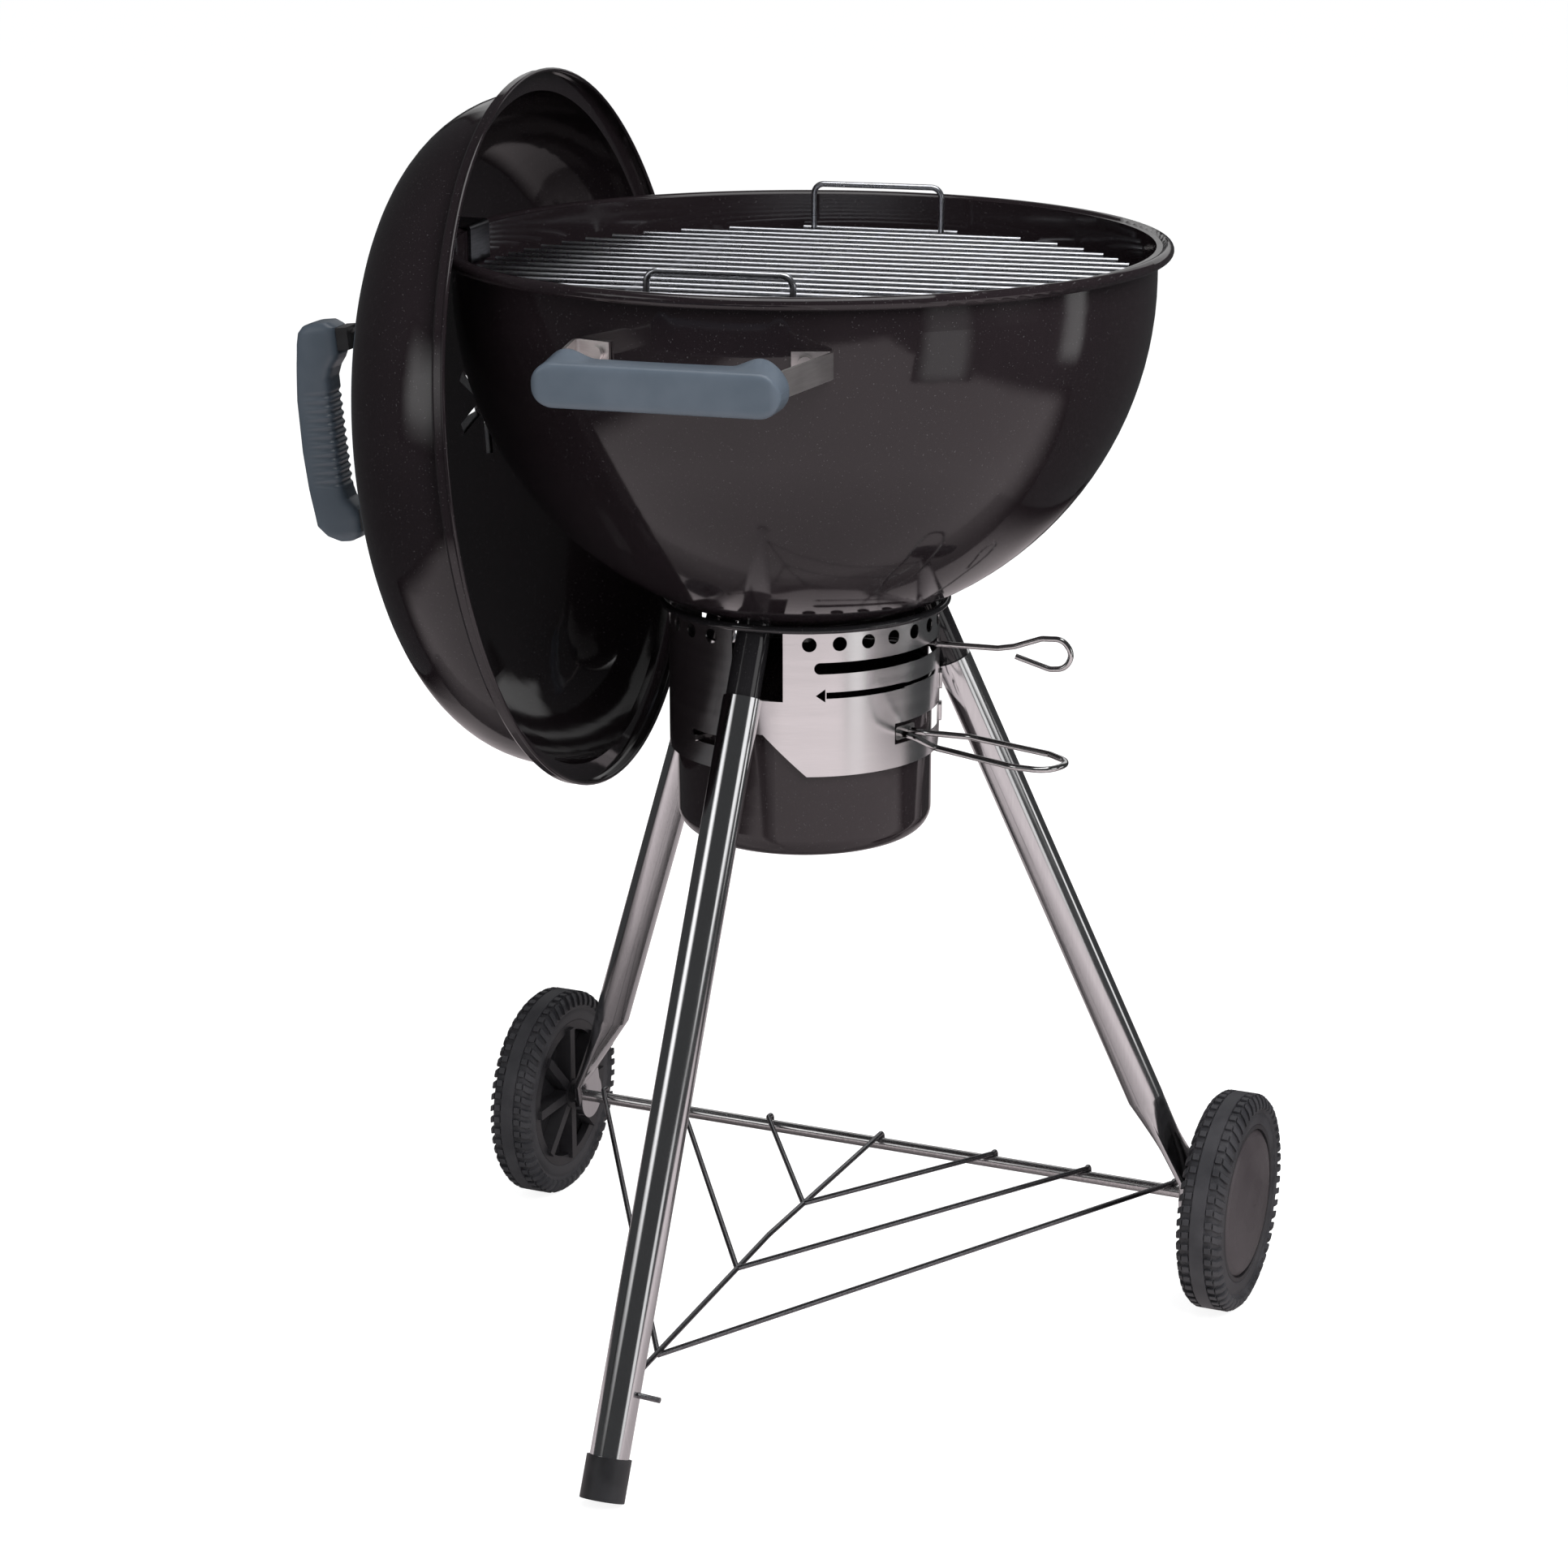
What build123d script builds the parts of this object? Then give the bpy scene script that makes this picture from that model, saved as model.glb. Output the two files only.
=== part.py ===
from build123d import *
from math import sin, cos, tan, radians, sqrt
import os

os.makedirs("parts", exist_ok=True)

# ---------------------------------------------------------------- driving sizes, mm
# Modelled about the bowl's own upright axis, +X along the wheel axle towards the right wheel,
# +Y towards the wheels.  Everything is moved by ORIGIN_SHIFT when it is written out, so that
# the origin lies on the flat of the front foot.
ORIGIN_SHIFT = (0, 303.3, 0)

BOWL_R, BOWL_T = 225.5, 1.2          # outside radius and sheet thickness of the bowl
BOWL_CENTRE_Z = 723.5                # centre of the round bottom
RIM_R, RIM_Z, BEAD_R = 231.5, 743.0, 4.0
BOWL_TURN = 7.3                      # handles and lid sit this far round from the legs

LID_T = 1.0
LID_LIP_R = 234.3                    # radius of the lid's skirt
LID_SHOULDER = (141.1, 13.9, 81.0)   # centre radius, centre depth and radius of the shoulder arc
LID_CROWN_R = 464.0
LID_CENTRE = (152.9, 615.0)          # distance from the bowl's axis and height of the lid's mouth
LID_LEAN = 5.86                      # degrees the hung lid leans outwards
LID_AZ = 180 + BOWL_TURN
DAMPER_AT = (-107.0, 5.0)            # centre of the lid's damper, in the lid's own plane

LEG_D, LEG_WALL, SOCKET_D = 25.0, 1.5, 22.0
FRONT_TILT, REAR_TILT = 25.03, 23.55
LEG_TOP_R, LEG_TOP_Z = 98.7, 467.6   # where chrome leg meets black socket
FOOT_Z, CAP_R, CAP_LEN = 4.5, 14.3, 27.0

AXLE_R, AXLE_Y, WHEEL_R = 4.25, 134.5, 76.2
WHEEL_X, WHEEL_W = 263.4, 33.0
WIRE = 3.6                           # rack wire

BAND_R, BAND_T = 88.5, 0.8           # stainless band round the ash bucket
BAND_TOP, BAND_BOTTOM = 510.0, 414.5
BAND_TURN = 3.5
BUCKET_R, BUCKET_T, BUCKET_BOTTOM, BUCKET_TOP = 84.3, 1.0, 356.4, 463.0

GRATE_Z, GRATE_R, GRATE_TURN = 725.0, 216.0, 9.0
COAL_Z, COAL_R = 600.0, 170.0
LEGS = ((-90, FRONT_TILT), (30, REAR_TILT), (150, REAR_TILT))


# ---------------------------------------------------------------- helpers
def polar(az, r, z=0.0):
    """Point at an azimuth in degrees, a distance from the axis and a height."""
    return Vector(r * cos(radians(az)), r * sin(radians(az)), z)


def bar(a, b, dia):
    """Straight round bar from a to b."""
    a, b = Vector(*a), Vector(*b)
    return Solid.make_cylinder(dia / 2, (b - a).length, Plane(origin=a, z_dir=b - a))


def wire(points, dia, bend):
    """Round wire through the points with rounded corners."""
    path = FilletPolyline(*points, radius=bend)
    return sweep(Plane(origin=path @ 0, z_dir=path % 0) * Circle(dia / 2), path=path)


def ring(r_in, r_out, z0, z1):
    """Upright tube between two radii and two heights."""
    return Pos(0, 0, z0) * (Cylinder(r_out, z1 - z0, align=BASE) - Cylinder(r_in, z1 - z0, align=BASE))


def leg_point(az, tilt, z):
    """Point on a leg's centreline at a height."""
    return polar(az, LEG_TOP_R + (LEG_TOP_Z - z) * tan(radians(tilt)), z)


def biggest(shape):
    """Largest solid of a shape."""
    return sorted(shape.solids(), key=lambda solid: solid.volume)[-1]


def out(shape, node):
    """Write one node, moved to the shared origin; a list becomes one node of several solids."""
    solids = []
    for piece in shape if isinstance(shape, list) else [shape]:
        solids += [Pos(*ORIGIN_SHIFT) * solid for solid in piece.solids()]
    body = Compound(children=solids) if len(solids) > 1 else solids[0]
    export_step(body, "parts/%s.step" % node)


BASE = (Align.CENTER, Align.CENTER, Align.MIN)

# ---------------------------------------------------------------- bowl
# Deep round-bottomed enamelled bowl with a rolled rim, three ash openings and a centre hole.
VENT_AZ, VENT_OUT, VENT_LONG, VENT_WIDE = (-30, 90, 210), 47.0, 46.0, 15.0
SHAFT_R, CLEARANCE = 5.0, 0.05
BELOW_BOWL = 480.0                   # a height clear below the bowl's floor, where cuts start
inner = BOWL_R - BOWL_T
lip_top, lip_under = RIM_Z + 2.2, RIM_Z + 1.0
with BuildSketch(Plane.XZ) as bowl_section:
    with BuildLine():
        Line((BOWL_R, RIM_Z), (BOWL_R, BOWL_CENTRE_Z))
        CenterArc((0, BOWL_CENTRE_Z), BOWL_R, -90, 90)
        Line((0, BOWL_CENTRE_Z - BOWL_R), (0, BOWL_CENTRE_Z - inner))
        CenterArc((0, BOWL_CENTRE_Z), inner, -90, 90)
        Line((inner, BOWL_CENTRE_Z), (inner, lip_top))
        Line((inner, lip_top), (RIM_R, lip_top))
        Line((RIM_R, lip_top), (RIM_R, lip_under))
        Line((RIM_R, lip_under), (BOWL_R, lip_under))
        Line((BOWL_R, lip_under), (BOWL_R, RIM_Z))
    make_face()
bowl = revolve(bowl_section.sketch, axis=Axis.Z)
bowl += Pos(0, 0, RIM_Z) * Torus(RIM_R, BEAD_R)
vent = extrude(Pos(VENT_OUT, 0, BELOW_BOWL) * SlotOverall(VENT_LONG, VENT_WIDE), 60)
for az in VENT_AZ:
    bowl -= Rot(0, 0, az) * vent
bowl -= Pos(0, 0, BELOW_BOWL) * Cylinder(SHAFT_R + CLEARANCE, 60, align=BASE)

# ---------------------------------------------------------------- leg sockets, hoop and legs
# Black stubs under the bowl; the chrome tubes slide over them.  Rear tubes are pressed flat
# round the axle, the front one stands in a black foot.
SOCKET_TOP, SOCKET_END, SOCKET_WALL = 520.0, 425.0, 1.5
HOOP_R, HOOP_Z, HOOP_WIRE_R = 94.0, 512.6, 2.4
bowl_ball = Pos(0, 0, BOWL_CENTRE_Z) * Sphere(BOWL_R)
sockets = []
for az, tilt in LEGS:
    stub = bar(leg_point(az, tilt, SOCKET_TOP), leg_point(az, tilt, SOCKET_END), SOCKET_D)
    bore_top, bore_end = leg_point(az, tilt, SOCKET_TOP - 15), leg_point(az, tilt, SOCKET_END - 1)
    sockets.append(biggest(stub - bar(bore_top, bore_end, SOCKET_D - 2 * SOCKET_WALL) - bowl_ball))
hoop = Pos(0, 0, HOOP_Z) * Torus(HOOP_R, HOOP_WIRE_R)

foot_end = leg_point(-90, FRONT_TILT, FOOT_Z)
top = leg_point(-90, FRONT_TILT, LEG_TOP_Z)
up = (top - foot_end).normalized()
CAP_FLOOR = 4.0                      # thickness of the foot under the tube's end
leg_front = bar(foot_end + up * CAP_FLOOR, top, LEG_D)
leg_front -= bar(foot_end, top + up, LEG_D - 2 * LEG_WALL)
foot = bar(foot_end, foot_end + up * CAP_LEN, CAP_R * 2)
foot -= bar(foot_end + up * CAP_FLOOR, foot_end + up * (CAP_LEN + 1), LEG_D)
foot -= Pos(0, foot_end.Y, -20) * Box(80, 80, 20, align=BASE)


EYE_X, EAR_T, EAR_R = 234.5, 6.0, 16.0   # pressed ear: where it sits, thickness, half width
NECK_Z = 150.0                           # height where the round tube starts to flatten


def rear_leg(side, az):
    """Chrome tube with its lower end pressed into a flat ear round the axle."""
    top = leg_point(az, REAR_TILT, LEG_TOP_Z)
    low = leg_point(az, REAR_TILT, NECK_Z)
    d = (low - top).normalized()
    eye = Vector(side * EYE_X, AXLE_Y, WHEEL_R)
    tube = bar(top, low, LEG_D) - bar(top - d, low - d * 3, LEG_D - 2 * LEG_WALL)
    fall = eye - leg_point(az, REAR_TILT, WHEEL_R + 26)
    ear_dir = Vector(0, fall.Y, fall.Z).normalized()
    ear_top = Plane(origin=eye - ear_dir * EAR_R, z_dir=ear_dir, x_dir=(1, 0, 0))
    flat = ear_top * RectangleRounded(EAR_T, 2 * EAR_R, 2.4)
    mouth = Plane(origin=low, z_dir=d, x_dir=Vector(1, 0, 0) - d * d.X) * Circle(LEG_D / 2)
    tip = Plane(origin=eye - Vector(EAR_T / 2, 0, 0), z_dir=(1, 0, 0)) * Circle(EAR_R)
    leg = tube + loft([mouth, flat]) + extrude(flat, EAR_R) + extrude(tip, EAR_T)
    return leg - Pos(*eye) * Rot(0, 90, 0) * Cylinder(AXLE_R, 40)


legs_rear = [rear_leg(1, 30), rear_leg(-1, 150)]

# ---------------------------------------------------------------- axle and wheels
# One plain rod through both legs; each wheel is kept on by a push cap under its hubcap.
AXLE_HALF = 277.0
axle = bar((-AXLE_HALF, AXLE_Y, WHEEL_R), (AXLE_HALF, AXLE_Y, WHEEL_R), 2 * AXLE_R)
spacers, push_caps = [], []
for s in (-1, 1):
    plane = Plane(origin=(0, AXLE_Y, WHEEL_R), z_dir=(s, 0, 0), x_dir=(0, 1, 0))
    spacers.append(plane * ring(AXLE_R, 7.0, 237.6, 246.0))
    push_caps.append(plane * ring(AXLE_R, 8.0, 272.6, 275.0))


def turned(points, plane):
    """Body of revolution about a wheel's axis; points are (radius, distance along the axle)."""
    face = make_face(Polyline(*[(r, 0, x) for r, x in points], close=True))
    return plane * revolve(face, axis=Axis.Z)


def wheel(side):
    """Tyre, spoked plastic wheel and domed hubcap of one side."""
    plane = Plane(origin=(0, AXLE_Y, WHEEL_R), z_dir=(side, 0, 0), x_dir=(0, 1, 0))
    a, b = WHEEL_X - WHEEL_W / 2, WHEEL_X + WHEEL_W / 2
    tyre = turned([(55, a + 1), (66, a), (72, a + 2), (WHEEL_R, a + 8), (WHEEL_R, b - 8), (72, b - 2),
                   (66, b), (55, b - 1)], plane)
    rim = turned([(48, a + 3), (55, a + 3), (55, b - 3), (52, b - 3), (52, a + 9), (48, a + 9)], plane)
    hub = plane * ring(AXLE_R + 0.05, 11.0, a - 0.8, 272.4)
    spoke = Pos(30.5, 0, a + 6) * Box(41, 7, 12)
    web = plane * ring(10.0, 50.0, a + 11, a + 14)
    for k in range(8):
        hub += plane * Rot(0, 0, 45 * k) * spoke
    hub = hub + rim + web - bar((-400, AXLE_Y, WHEEL_R), (400, AXLE_Y, WHEEL_R), 2 * AXLE_R + 0.1)
    cap = turned([(0, b - 0.5), (0, b + 2), (20, b + 1.4), (38, b - 0.2), (48, b - 2.2), (51.9, b - 5),
                  (51.9, b - 9), (49, b - 9), (49, b - 6), (36, b - 3.2), (20, b - 1.2)], plane)
    return tyre, hub, cap


# ---------------------------------------------------------------- bottom rack
# Wire V: a spine from the axle to the front leg, three pairs of arms hooked over the axle.
lift = AXLE_R + WIRE / 2 + 0.05
AXLE_TOP = WHEEL_R + lift


def hooked(x, start):
    """Points of a wire that runs from start to the axle and bends down behind it."""
    return [start, (x, AXLE_Y, AXLE_TOP), (x, AXLE_Y + lift, AXLE_TOP), (x, AXLE_Y + lift, WHEEL_R - 5)]


PIN_Z, PIN_REACH = 66.0, 27.0            # where the spine's end passes out through the front leg
ARMS = ((87.5, -2, 82.0), (158, -112, 78.2), (222, -233, 67.7))   # axle end x, spine end y and z
pin_y = leg_point(-90, FRONT_TILT, PIN_Z).Y
knee = (0, -60, 82)
spine = wire([(PIN_REACH, pin_y, PIN_Z - 1), (0, pin_y, PIN_Z), knee, *hooked(0, knee)[1:]], WIRE, 3.5)
leg_front -= wire([(40, pin_y, PIN_Z - 1.5), (0, pin_y, PIN_Z), knee], WIRE + 0.3, 3.5)
arms = []
for x, y, z in ARMS:
    for s in (-1, 1):
        arms.append(biggest(wire(hooked(s * x, (0, y, z + 0.2)), WIRE, 3.0) - spine))

# ---------------------------------------------------------------- stainless band
# Three joined panels notched round the sockets, with air holes, the lever's slot, an arrow and
# the slots that carry the bucket.
NOTCH_HALF, NOTCH_Z = 11.2, 464.0        # degrees each side of a leg, height of the notch's floor
VEE_Z, VEE_HALF, VEE_DEEP, VEE_FLAT = 441.5, 33.0, 28.0, 4.0
HOLE_R, HOLE_STEP, HOLE_Z = 4.7, 12.65, 502.0   # air holes: radius, degrees apart, height
SLOT, SLOT_Z = (-60.0, 10.0), (482.4, 490.0)    # the lever's slot, degrees and heights
ARROW_Z, ARROW_TIP = 468.3, -59.5
BUCKET_SLOTS = ((-25.6, 13.5, 430.0, 444.0), (-121.0, -89.5, 429.5, 436.5), (119.0, 150.5, 429.5, 436.5))
CLIPS_AT = ((19.5, 458.0), (16.5, 437.5))
band = ring(BAND_R, BAND_R + BAND_T, BAND_BOTTOM, BAND_TOP)


def through(shape_2d, az, z):
    """Cut tool: a flat shape pushed radially through the band at an azimuth and height."""
    plane = Plane(origin=polar(az, 70, z), z_dir=polar(az, 1), x_dir=polar(az + 90, 1))
    return extrude(plane * shape_2d, 40)


def arc_slot(az0, az1, z0, z1):
    """Cut tool: a slot along the band between two azimuths."""
    wedge = extrude(make_face(Polyline((0, 0), *[tuple(polar(az0 + (az1 - az0) * k / 6, 130))[:2]
                                                 for k in range(7)], close=True)), z1 - z0)
    return Pos(0, 0, z0) * (wedge & ring(75, 120, 0, z1 - z0))


vee = make_face(Polyline((-VEE_HALF, -VEE_DEEP), (-VEE_FLAT, 0), (VEE_FLAT, 0), (VEE_HALF, -VEE_DEEP),
                         close=True))
for az, tilt in LEGS:
    middle = az + BAND_TURN
    band -= arc_slot(middle - NOTCH_HALF, middle + NOTCH_HALF, NOTCH_Z, BAND_TOP + 10)
    band -= through(vee, middle, VEE_Z)
    band -= bar(leg_point(az, tilt, 475), leg_point(az, tilt, 440), LEG_D + 1.5)
for panel in VENT_AZ:
    for k in range(-3, 4):
        band -= through(Circle(HOLE_R), panel + BAND_TURN + HOLE_STEP * k, HOLE_Z)
band -= arc_slot(*SLOT, *SLOT_Z)
for az in SLOT:
    band -= through(Circle((SLOT_Z[1] - SLOT_Z[0]) / 2), az, (SLOT_Z[0] + SLOT_Z[1]) / 2)
band -= arc_slot(-57.4, -20, ARROW_Z - 2.1, ARROW_Z + 2.1) + arc_slot(-20, 7, ARROW_Z - 1.3, ARROW_Z + 1.5)
arrow_head = make_face(Polyline((-3.6, 0), (2.6, 4.4), (2.6, -4.4), close=True))
band -= through(arrow_head, ARROW_TIP, ARROW_Z)
for bucket_slot in BUCKET_SLOTS:
    band -= arc_slot(*bucket_slot)
clips = []
for az, z in CLIPS_AT:
    plane = Plane(origin=polar(az, BAND_R + BAND_T + 0.12, z), z_dir=polar(az, 1), x_dir=polar(az + 90, 1))
    clips.append(extrude(plane * RectangleRounded(6.5, 13, 2), 1.6))

# ---------------------------------------------------------------- ash bucket
# Deep drawn bucket with a curled mouth, carried on lugs in the band's slots, and a wire handle.
CORNER = 15.0
bucket_in, floor_top = BUCKET_R - BUCKET_T, BUCKET_BOTTOM + BUCKET_T
bend_at = (BUCKET_R - CORNER, BUCKET_BOTTOM + CORNER)
bucket_edges = [
    Line((0, BUCKET_BOTTOM), (bend_at[0], BUCKET_BOTTOM)),
    CenterArc(bend_at, CORNER, -90, 90),
    Line((BUCKET_R, bend_at[1]), (BUCKET_R, BUCKET_TOP)),
    Line((BUCKET_R, BUCKET_TOP), (bucket_in, BUCKET_TOP)),
    Line((bucket_in, BUCKET_TOP), (bucket_in, bend_at[1])),
    CenterArc(bend_at, CORNER - BUCKET_T, -90, 90),
    Line((bend_at[0], floor_top), (0, floor_top)),
    Line((0, floor_top), (0, BUCKET_BOTTOM))]
bucket = revolve(Plane.XZ * make_face(bucket_edges), axis=Axis.Z)
LOOP_AZ, LOOP_Z, LOOP_WIRE_R, LOOP_BEND = -17.5, 436.0, 2.0, 14.0
LOOP_SIDE = ((86.6, 5), (100, 6.5), (126, 17), (190, 19), (212, 12))   # one side, bucket to far end
LUG_AZ, LUG_Z = (-118.0, 122.0), 432.0
loop_plane = Plane(origin=(0, 0, LOOP_Z), x_dir=polar(LOOP_AZ, 1), z_dir=(0, 0, 1))
loop_pts = [(x, -y) for x, y in LOOP_SIDE] + list(reversed(LOOP_SIDE))
loop_line = loop_plane * FilletPolyline(*loop_pts, radius=LOOP_BEND)
loop_start = Plane(origin=loop_line @ 0, z_dir=loop_line % 0)
bucket_handle = sweep(loop_start * Circle(LOOP_WIRE_R), path=loop_line)
lugs = []
for az in LUG_AZ:
    plane = Plane(origin=polar(az, BUCKET_R - 0.3, LUG_Z), z_dir=polar(az, 1), x_dir=polar(az + 90, 1))
    lugs.append(extrude(plane * RectangleRounded(5, 4.4, 1), 8.0) - Cylinder(BUCKET_R, 2000))
plate_plane = Plane(origin=polar(LOOP_AZ, BUCKET_R - 2.0, LOOP_Z), z_dir=polar(LOOP_AZ, 1),
                    x_dir=polar(LOOP_AZ + 90, 1))
saddle = extrude(plate_plane * RectangleRounded(19, 9, 2), 4.3) - Cylinder(BUCKET_R, 2000)
saddle -= bucket_handle

# ---------------------------------------------------------------- air sweeper and lever
# Three blades lying on the bowl's floor, a shaft through it and the wire lever below.
LEVER_AZ, LEVER_WIRE_R, LEVER_BEND = 7.0, 1.9, 9.0
BLADE_GAP, BLADE_T, BLADE_TURN = 0.6, 1.2, 128.0    # gap over the bowl's floor, thickness, degrees
BLADE = ((0, -9), (74, -13), (78, 0), (74, 13), (0, 9))
HUB_R, HUB_Z, HUB_T = 14.0, 499.9, 3.2
under_blades = inner - BLADE_GAP
blade_shell = Pos(0, 0, BOWL_CENTRE_Z) * (Sphere(under_blades) - Sphere(under_blades - BLADE_T))
blade_shape = extrude(Pos(0, 0, BELOW_BOWL) * make_face(Polyline(*BLADE, close=True)), 60)
blades = Part()
for k in range(3):
    blades += Rot(0, 0, BLADE_TURN + 120 * k) * blade_shape & blade_shell
blades += Pos(0, 0, HUB_Z) * Cylinder(HUB_R, HUB_T, align=BASE)
blades -= Pos(0, 0, BELOW_BOWL) * Cylinder(SHAFT_R, 60, align=BASE)
blades -= Pos(0, 0, BOWL_CENTRE_Z) * (Sphere(400) - Sphere(under_blades))
shaft = Pos(0, 0, 482) * Cylinder(SHAFT_R, 24.0, align=BASE)
collar = ring(SHAFT_R, 9.0, 493.5, 497.2)
lever_plane = Plane(origin=(0, 0, 0), x_dir=polar(LEVER_AZ, 1), z_dir=polar(LEVER_AZ - 90, 1))
lever_pts = [(SHAFT_R + 0.2, 486.5), (131, 486.5), (142, 488.5), (160, 495), (174, 495.5), (181, 486),
             (176, 476), (166, 475), (143, 482)]
lever_line = lever_plane * FilletPolyline(*lever_pts, radius=LEVER_BEND)
lever_start = Plane(origin=lever_line @ 0, z_dir=lever_line % 0)
lever = sweep(lever_start * Circle(LEVER_WIRE_R), path=lever_line)
shaft_nut = ring(SHAFT_R, 8.5, 503.3, 505.2)

# ---------------------------------------------------------------- bowl handles
# Two plastic grips on bent steel brackets, front and back.
GRIP_OUT, GRIP_Z, GRIP_LEN = 307.0, 703.5, 150.0   # outer face from the bowl's axis, middle, length
GRIP_DEEP, GRIP_HIGH = 24.0, 27.0
BOSS_AT, BOSS_R, BOSS_TOP = 58.0, 9.5, 721.0       # raised end bosses that take the brackets
BRACKET_Z, BRACKET_HIGH, BRACKET_T = 706.5, 16.0, 2.0
FLANGE = (14.3, 20.8)                              # degrees either side of the handle's middle
BOLT_TURN, BOLT_Z, BOLT_HEAD, BOLT_D = 16.4, 707.5, 9.0, 5.0


def side_handle(az):
    """Grip, its two brackets and two bolts, for the handle at an azimuth."""
    outward, along = polar(az, 1), polar(az + 90, 1)
    face = Plane(origin=polar(az, GRIP_OUT - GRIP_DEEP, GRIP_Z), z_dir=outward, x_dir=along)
    grip = extrude(face * SlotOverall(GRIP_LEN, GRIP_HIGH), GRIP_DEEP)
    grip = fillet(grip.edges().filter_by(lambda e: e.length > 90 or e.geom_type == GeomType.CIRCLE), 4.5)
    brackets, bolts = [], []
    for s in (-1, 1):
        foot = outward * (GRIP_OUT - GRIP_DEEP + BOSS_R - 4) + along * (s * BOSS_AT)
        grip += Pos(foot.X, foot.Y, GRIP_Z - GRIP_HIGH / 2 + 2) \
            * Cylinder(BOSS_R, BOSS_TOP - GRIP_Z + GRIP_HIGH / 2 - 2, align=BASE)
    flange_r = BOWL_R + BRACKET_T / 2 + 0.05
    for s in (-1, 1):
        inner_end = polar(az + s * FLANGE[0], flange_r, BRACKET_Z)
        corner = polar(az + s * FLANGE[1], flange_r, BRACKET_Z)
        in_grip = outward * (GRIP_OUT - GRIP_DEEP + 6) + along * (s * 68) + Vector(0, 0, BRACKET_Z)
        bent = FilletPolyline(inner_end, corner, in_grip, radius=3)
        start = Plane(origin=bent @ 0, z_dir=bent % 0, x_dir=(0, 0, 1))
        bracket = sweep(start * Rectangle(BRACKET_HIGH, BRACKET_T), path=bent)
        bracket = bracket - Cylinder(BOWL_R + 0.02, 3000) - grip
        foot = polar(az + s * BOLT_TURN, flange_r + BRACKET_T / 2, BOLT_Z)
        n = polar(az + s * BOLT_TURN, 1)
        bolt = bar(foot, foot + n * 3, BOLT_HEAD) + bar(foot - n * 12, foot, BOLT_D)
        brackets.append(biggest(bracket) - bolt)
        bolts.append(bolt)
    return grip, brackets, bolts


grips, brackets, bolts = [], [], []
for az in (-90 + BOWL_TURN, 90 + BOWL_TURN):
    grip, pair, bolt_pair = side_handle(az)
    grips.append(grip)
    brackets += pair
    bolts += bolt_pair
for bolt in bolts:
    bowl -= bolt

# ---------------------------------------------------------------- grates
# Plated wire grates; the cooking one has two wire handles.
COOK_WIRE, COOK_PITCH, COOK_RODS = 4.0, 19.0, (-96, 0, 96)
COAL_WIRE, COAL_PITCH, COAL_RODS = 5.0, 17.0, (-85, 0, 85)
SHORTEST = 30.0                      # a wire whose half length is less than this is left out


def grate(radius, z, pitch, dia, rods, turn):
    """Parallel wires cut to a circle, and the cross rods welded under them."""
    wires, bars = [], []
    n = int(radius / pitch)
    rod_z = z - 1.5 * dia
    for k in range(-n, n + 1):
        half = sqrt(radius ** 2 - (k * pitch) ** 2)
        if half > SHORTEST:
            left, right = (-half, k * pitch, z - dia / 2), (half, k * pitch, z - dia / 2)
            wires.append(Rot(0, 0, turn) * bar(left, right, dia))
    for x in rods:
        half = sqrt((radius - 3) ** 2 - x ** 2)
        bars.append(Rot(0, 0, turn) * bar((x, -half, rod_z), (x, half, rod_z), dia))
    return wires, bars


cooking_wires, cooking_rods = grate(GRATE_R, GRATE_Z, COOK_PITCH, COOK_WIRE, COOK_RODS, GRATE_TURN)
coal_wires, coal_rods = grate(COAL_R, COAL_Z, COAL_PITCH, COAL_WIRE, COAL_RODS, 0)
HANDLE_HALF, HANDLE_Y, HANDLE_RISE = 45.0, 199.5, 30.0
handle_foot, handle_top = GRATE_Z - 1.4 * COOK_WIRE, GRATE_Z + HANDLE_RISE
loops = []
for s in (-1, 1):
    y = s * HANDLE_Y
    pts = [(-HANDLE_HALF, y, handle_foot), (-HANDLE_HALF, y, handle_top),
           (HANDLE_HALF, y, handle_top), (HANDLE_HALF, y, handle_foot)]
    loop = Rot(0, 0, GRATE_TURN) * wire(pts, COOK_WIRE, 7.0)
    for other in cooking_wires + cooking_rods:
        loop -= other
    loops.append(biggest(loop))

# Bent tabs welded high inside the bowl carry the cooking grate; four flat shelves lower down
# carry the charcoal grate.
TABS, SHELVES = (52, 128, 232, 308), (45, 135, 225, 315)
TAB_WIDE, TAB_REACH, TAB_THICK, TAB_DROP = 14.0, 15.0, 4.0, 36.0
bowl_inside = Pos(0, 0, BOWL_CENTRE_Z) * Sphere(inner - 0.01)
bowl_inside += ring(0.01, inner - 0.01, BOWL_CENTRE_Z, BOWL_CENTRE_Z + 36)
tab_top = GRATE_Z - 2 * COOK_WIRE - 4.6
tabs, coal_tabs = [], []
for az in TABS:
    rest = Rot(0, 0, az) * Pos(216.5, 0, tab_top - TAB_THICK / 2) * Box(TAB_REACH, TAB_WIDE, TAB_THICK)
    drop = Rot(0, 0, az) * Pos(221.4, 0, tab_top - 20.4) * Box(3, TAB_WIDE, TAB_DROP)
    tabs.append((rest + drop) & bowl_inside)
for az in SHELVES:
    shelf = Rot(0, 0, az) * Pos(COAL_R + 6, 0, COAL_Z - 9.6) * Box(44, 16, 4)
    coal_tabs.append(shelf & bowl_inside)

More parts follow.
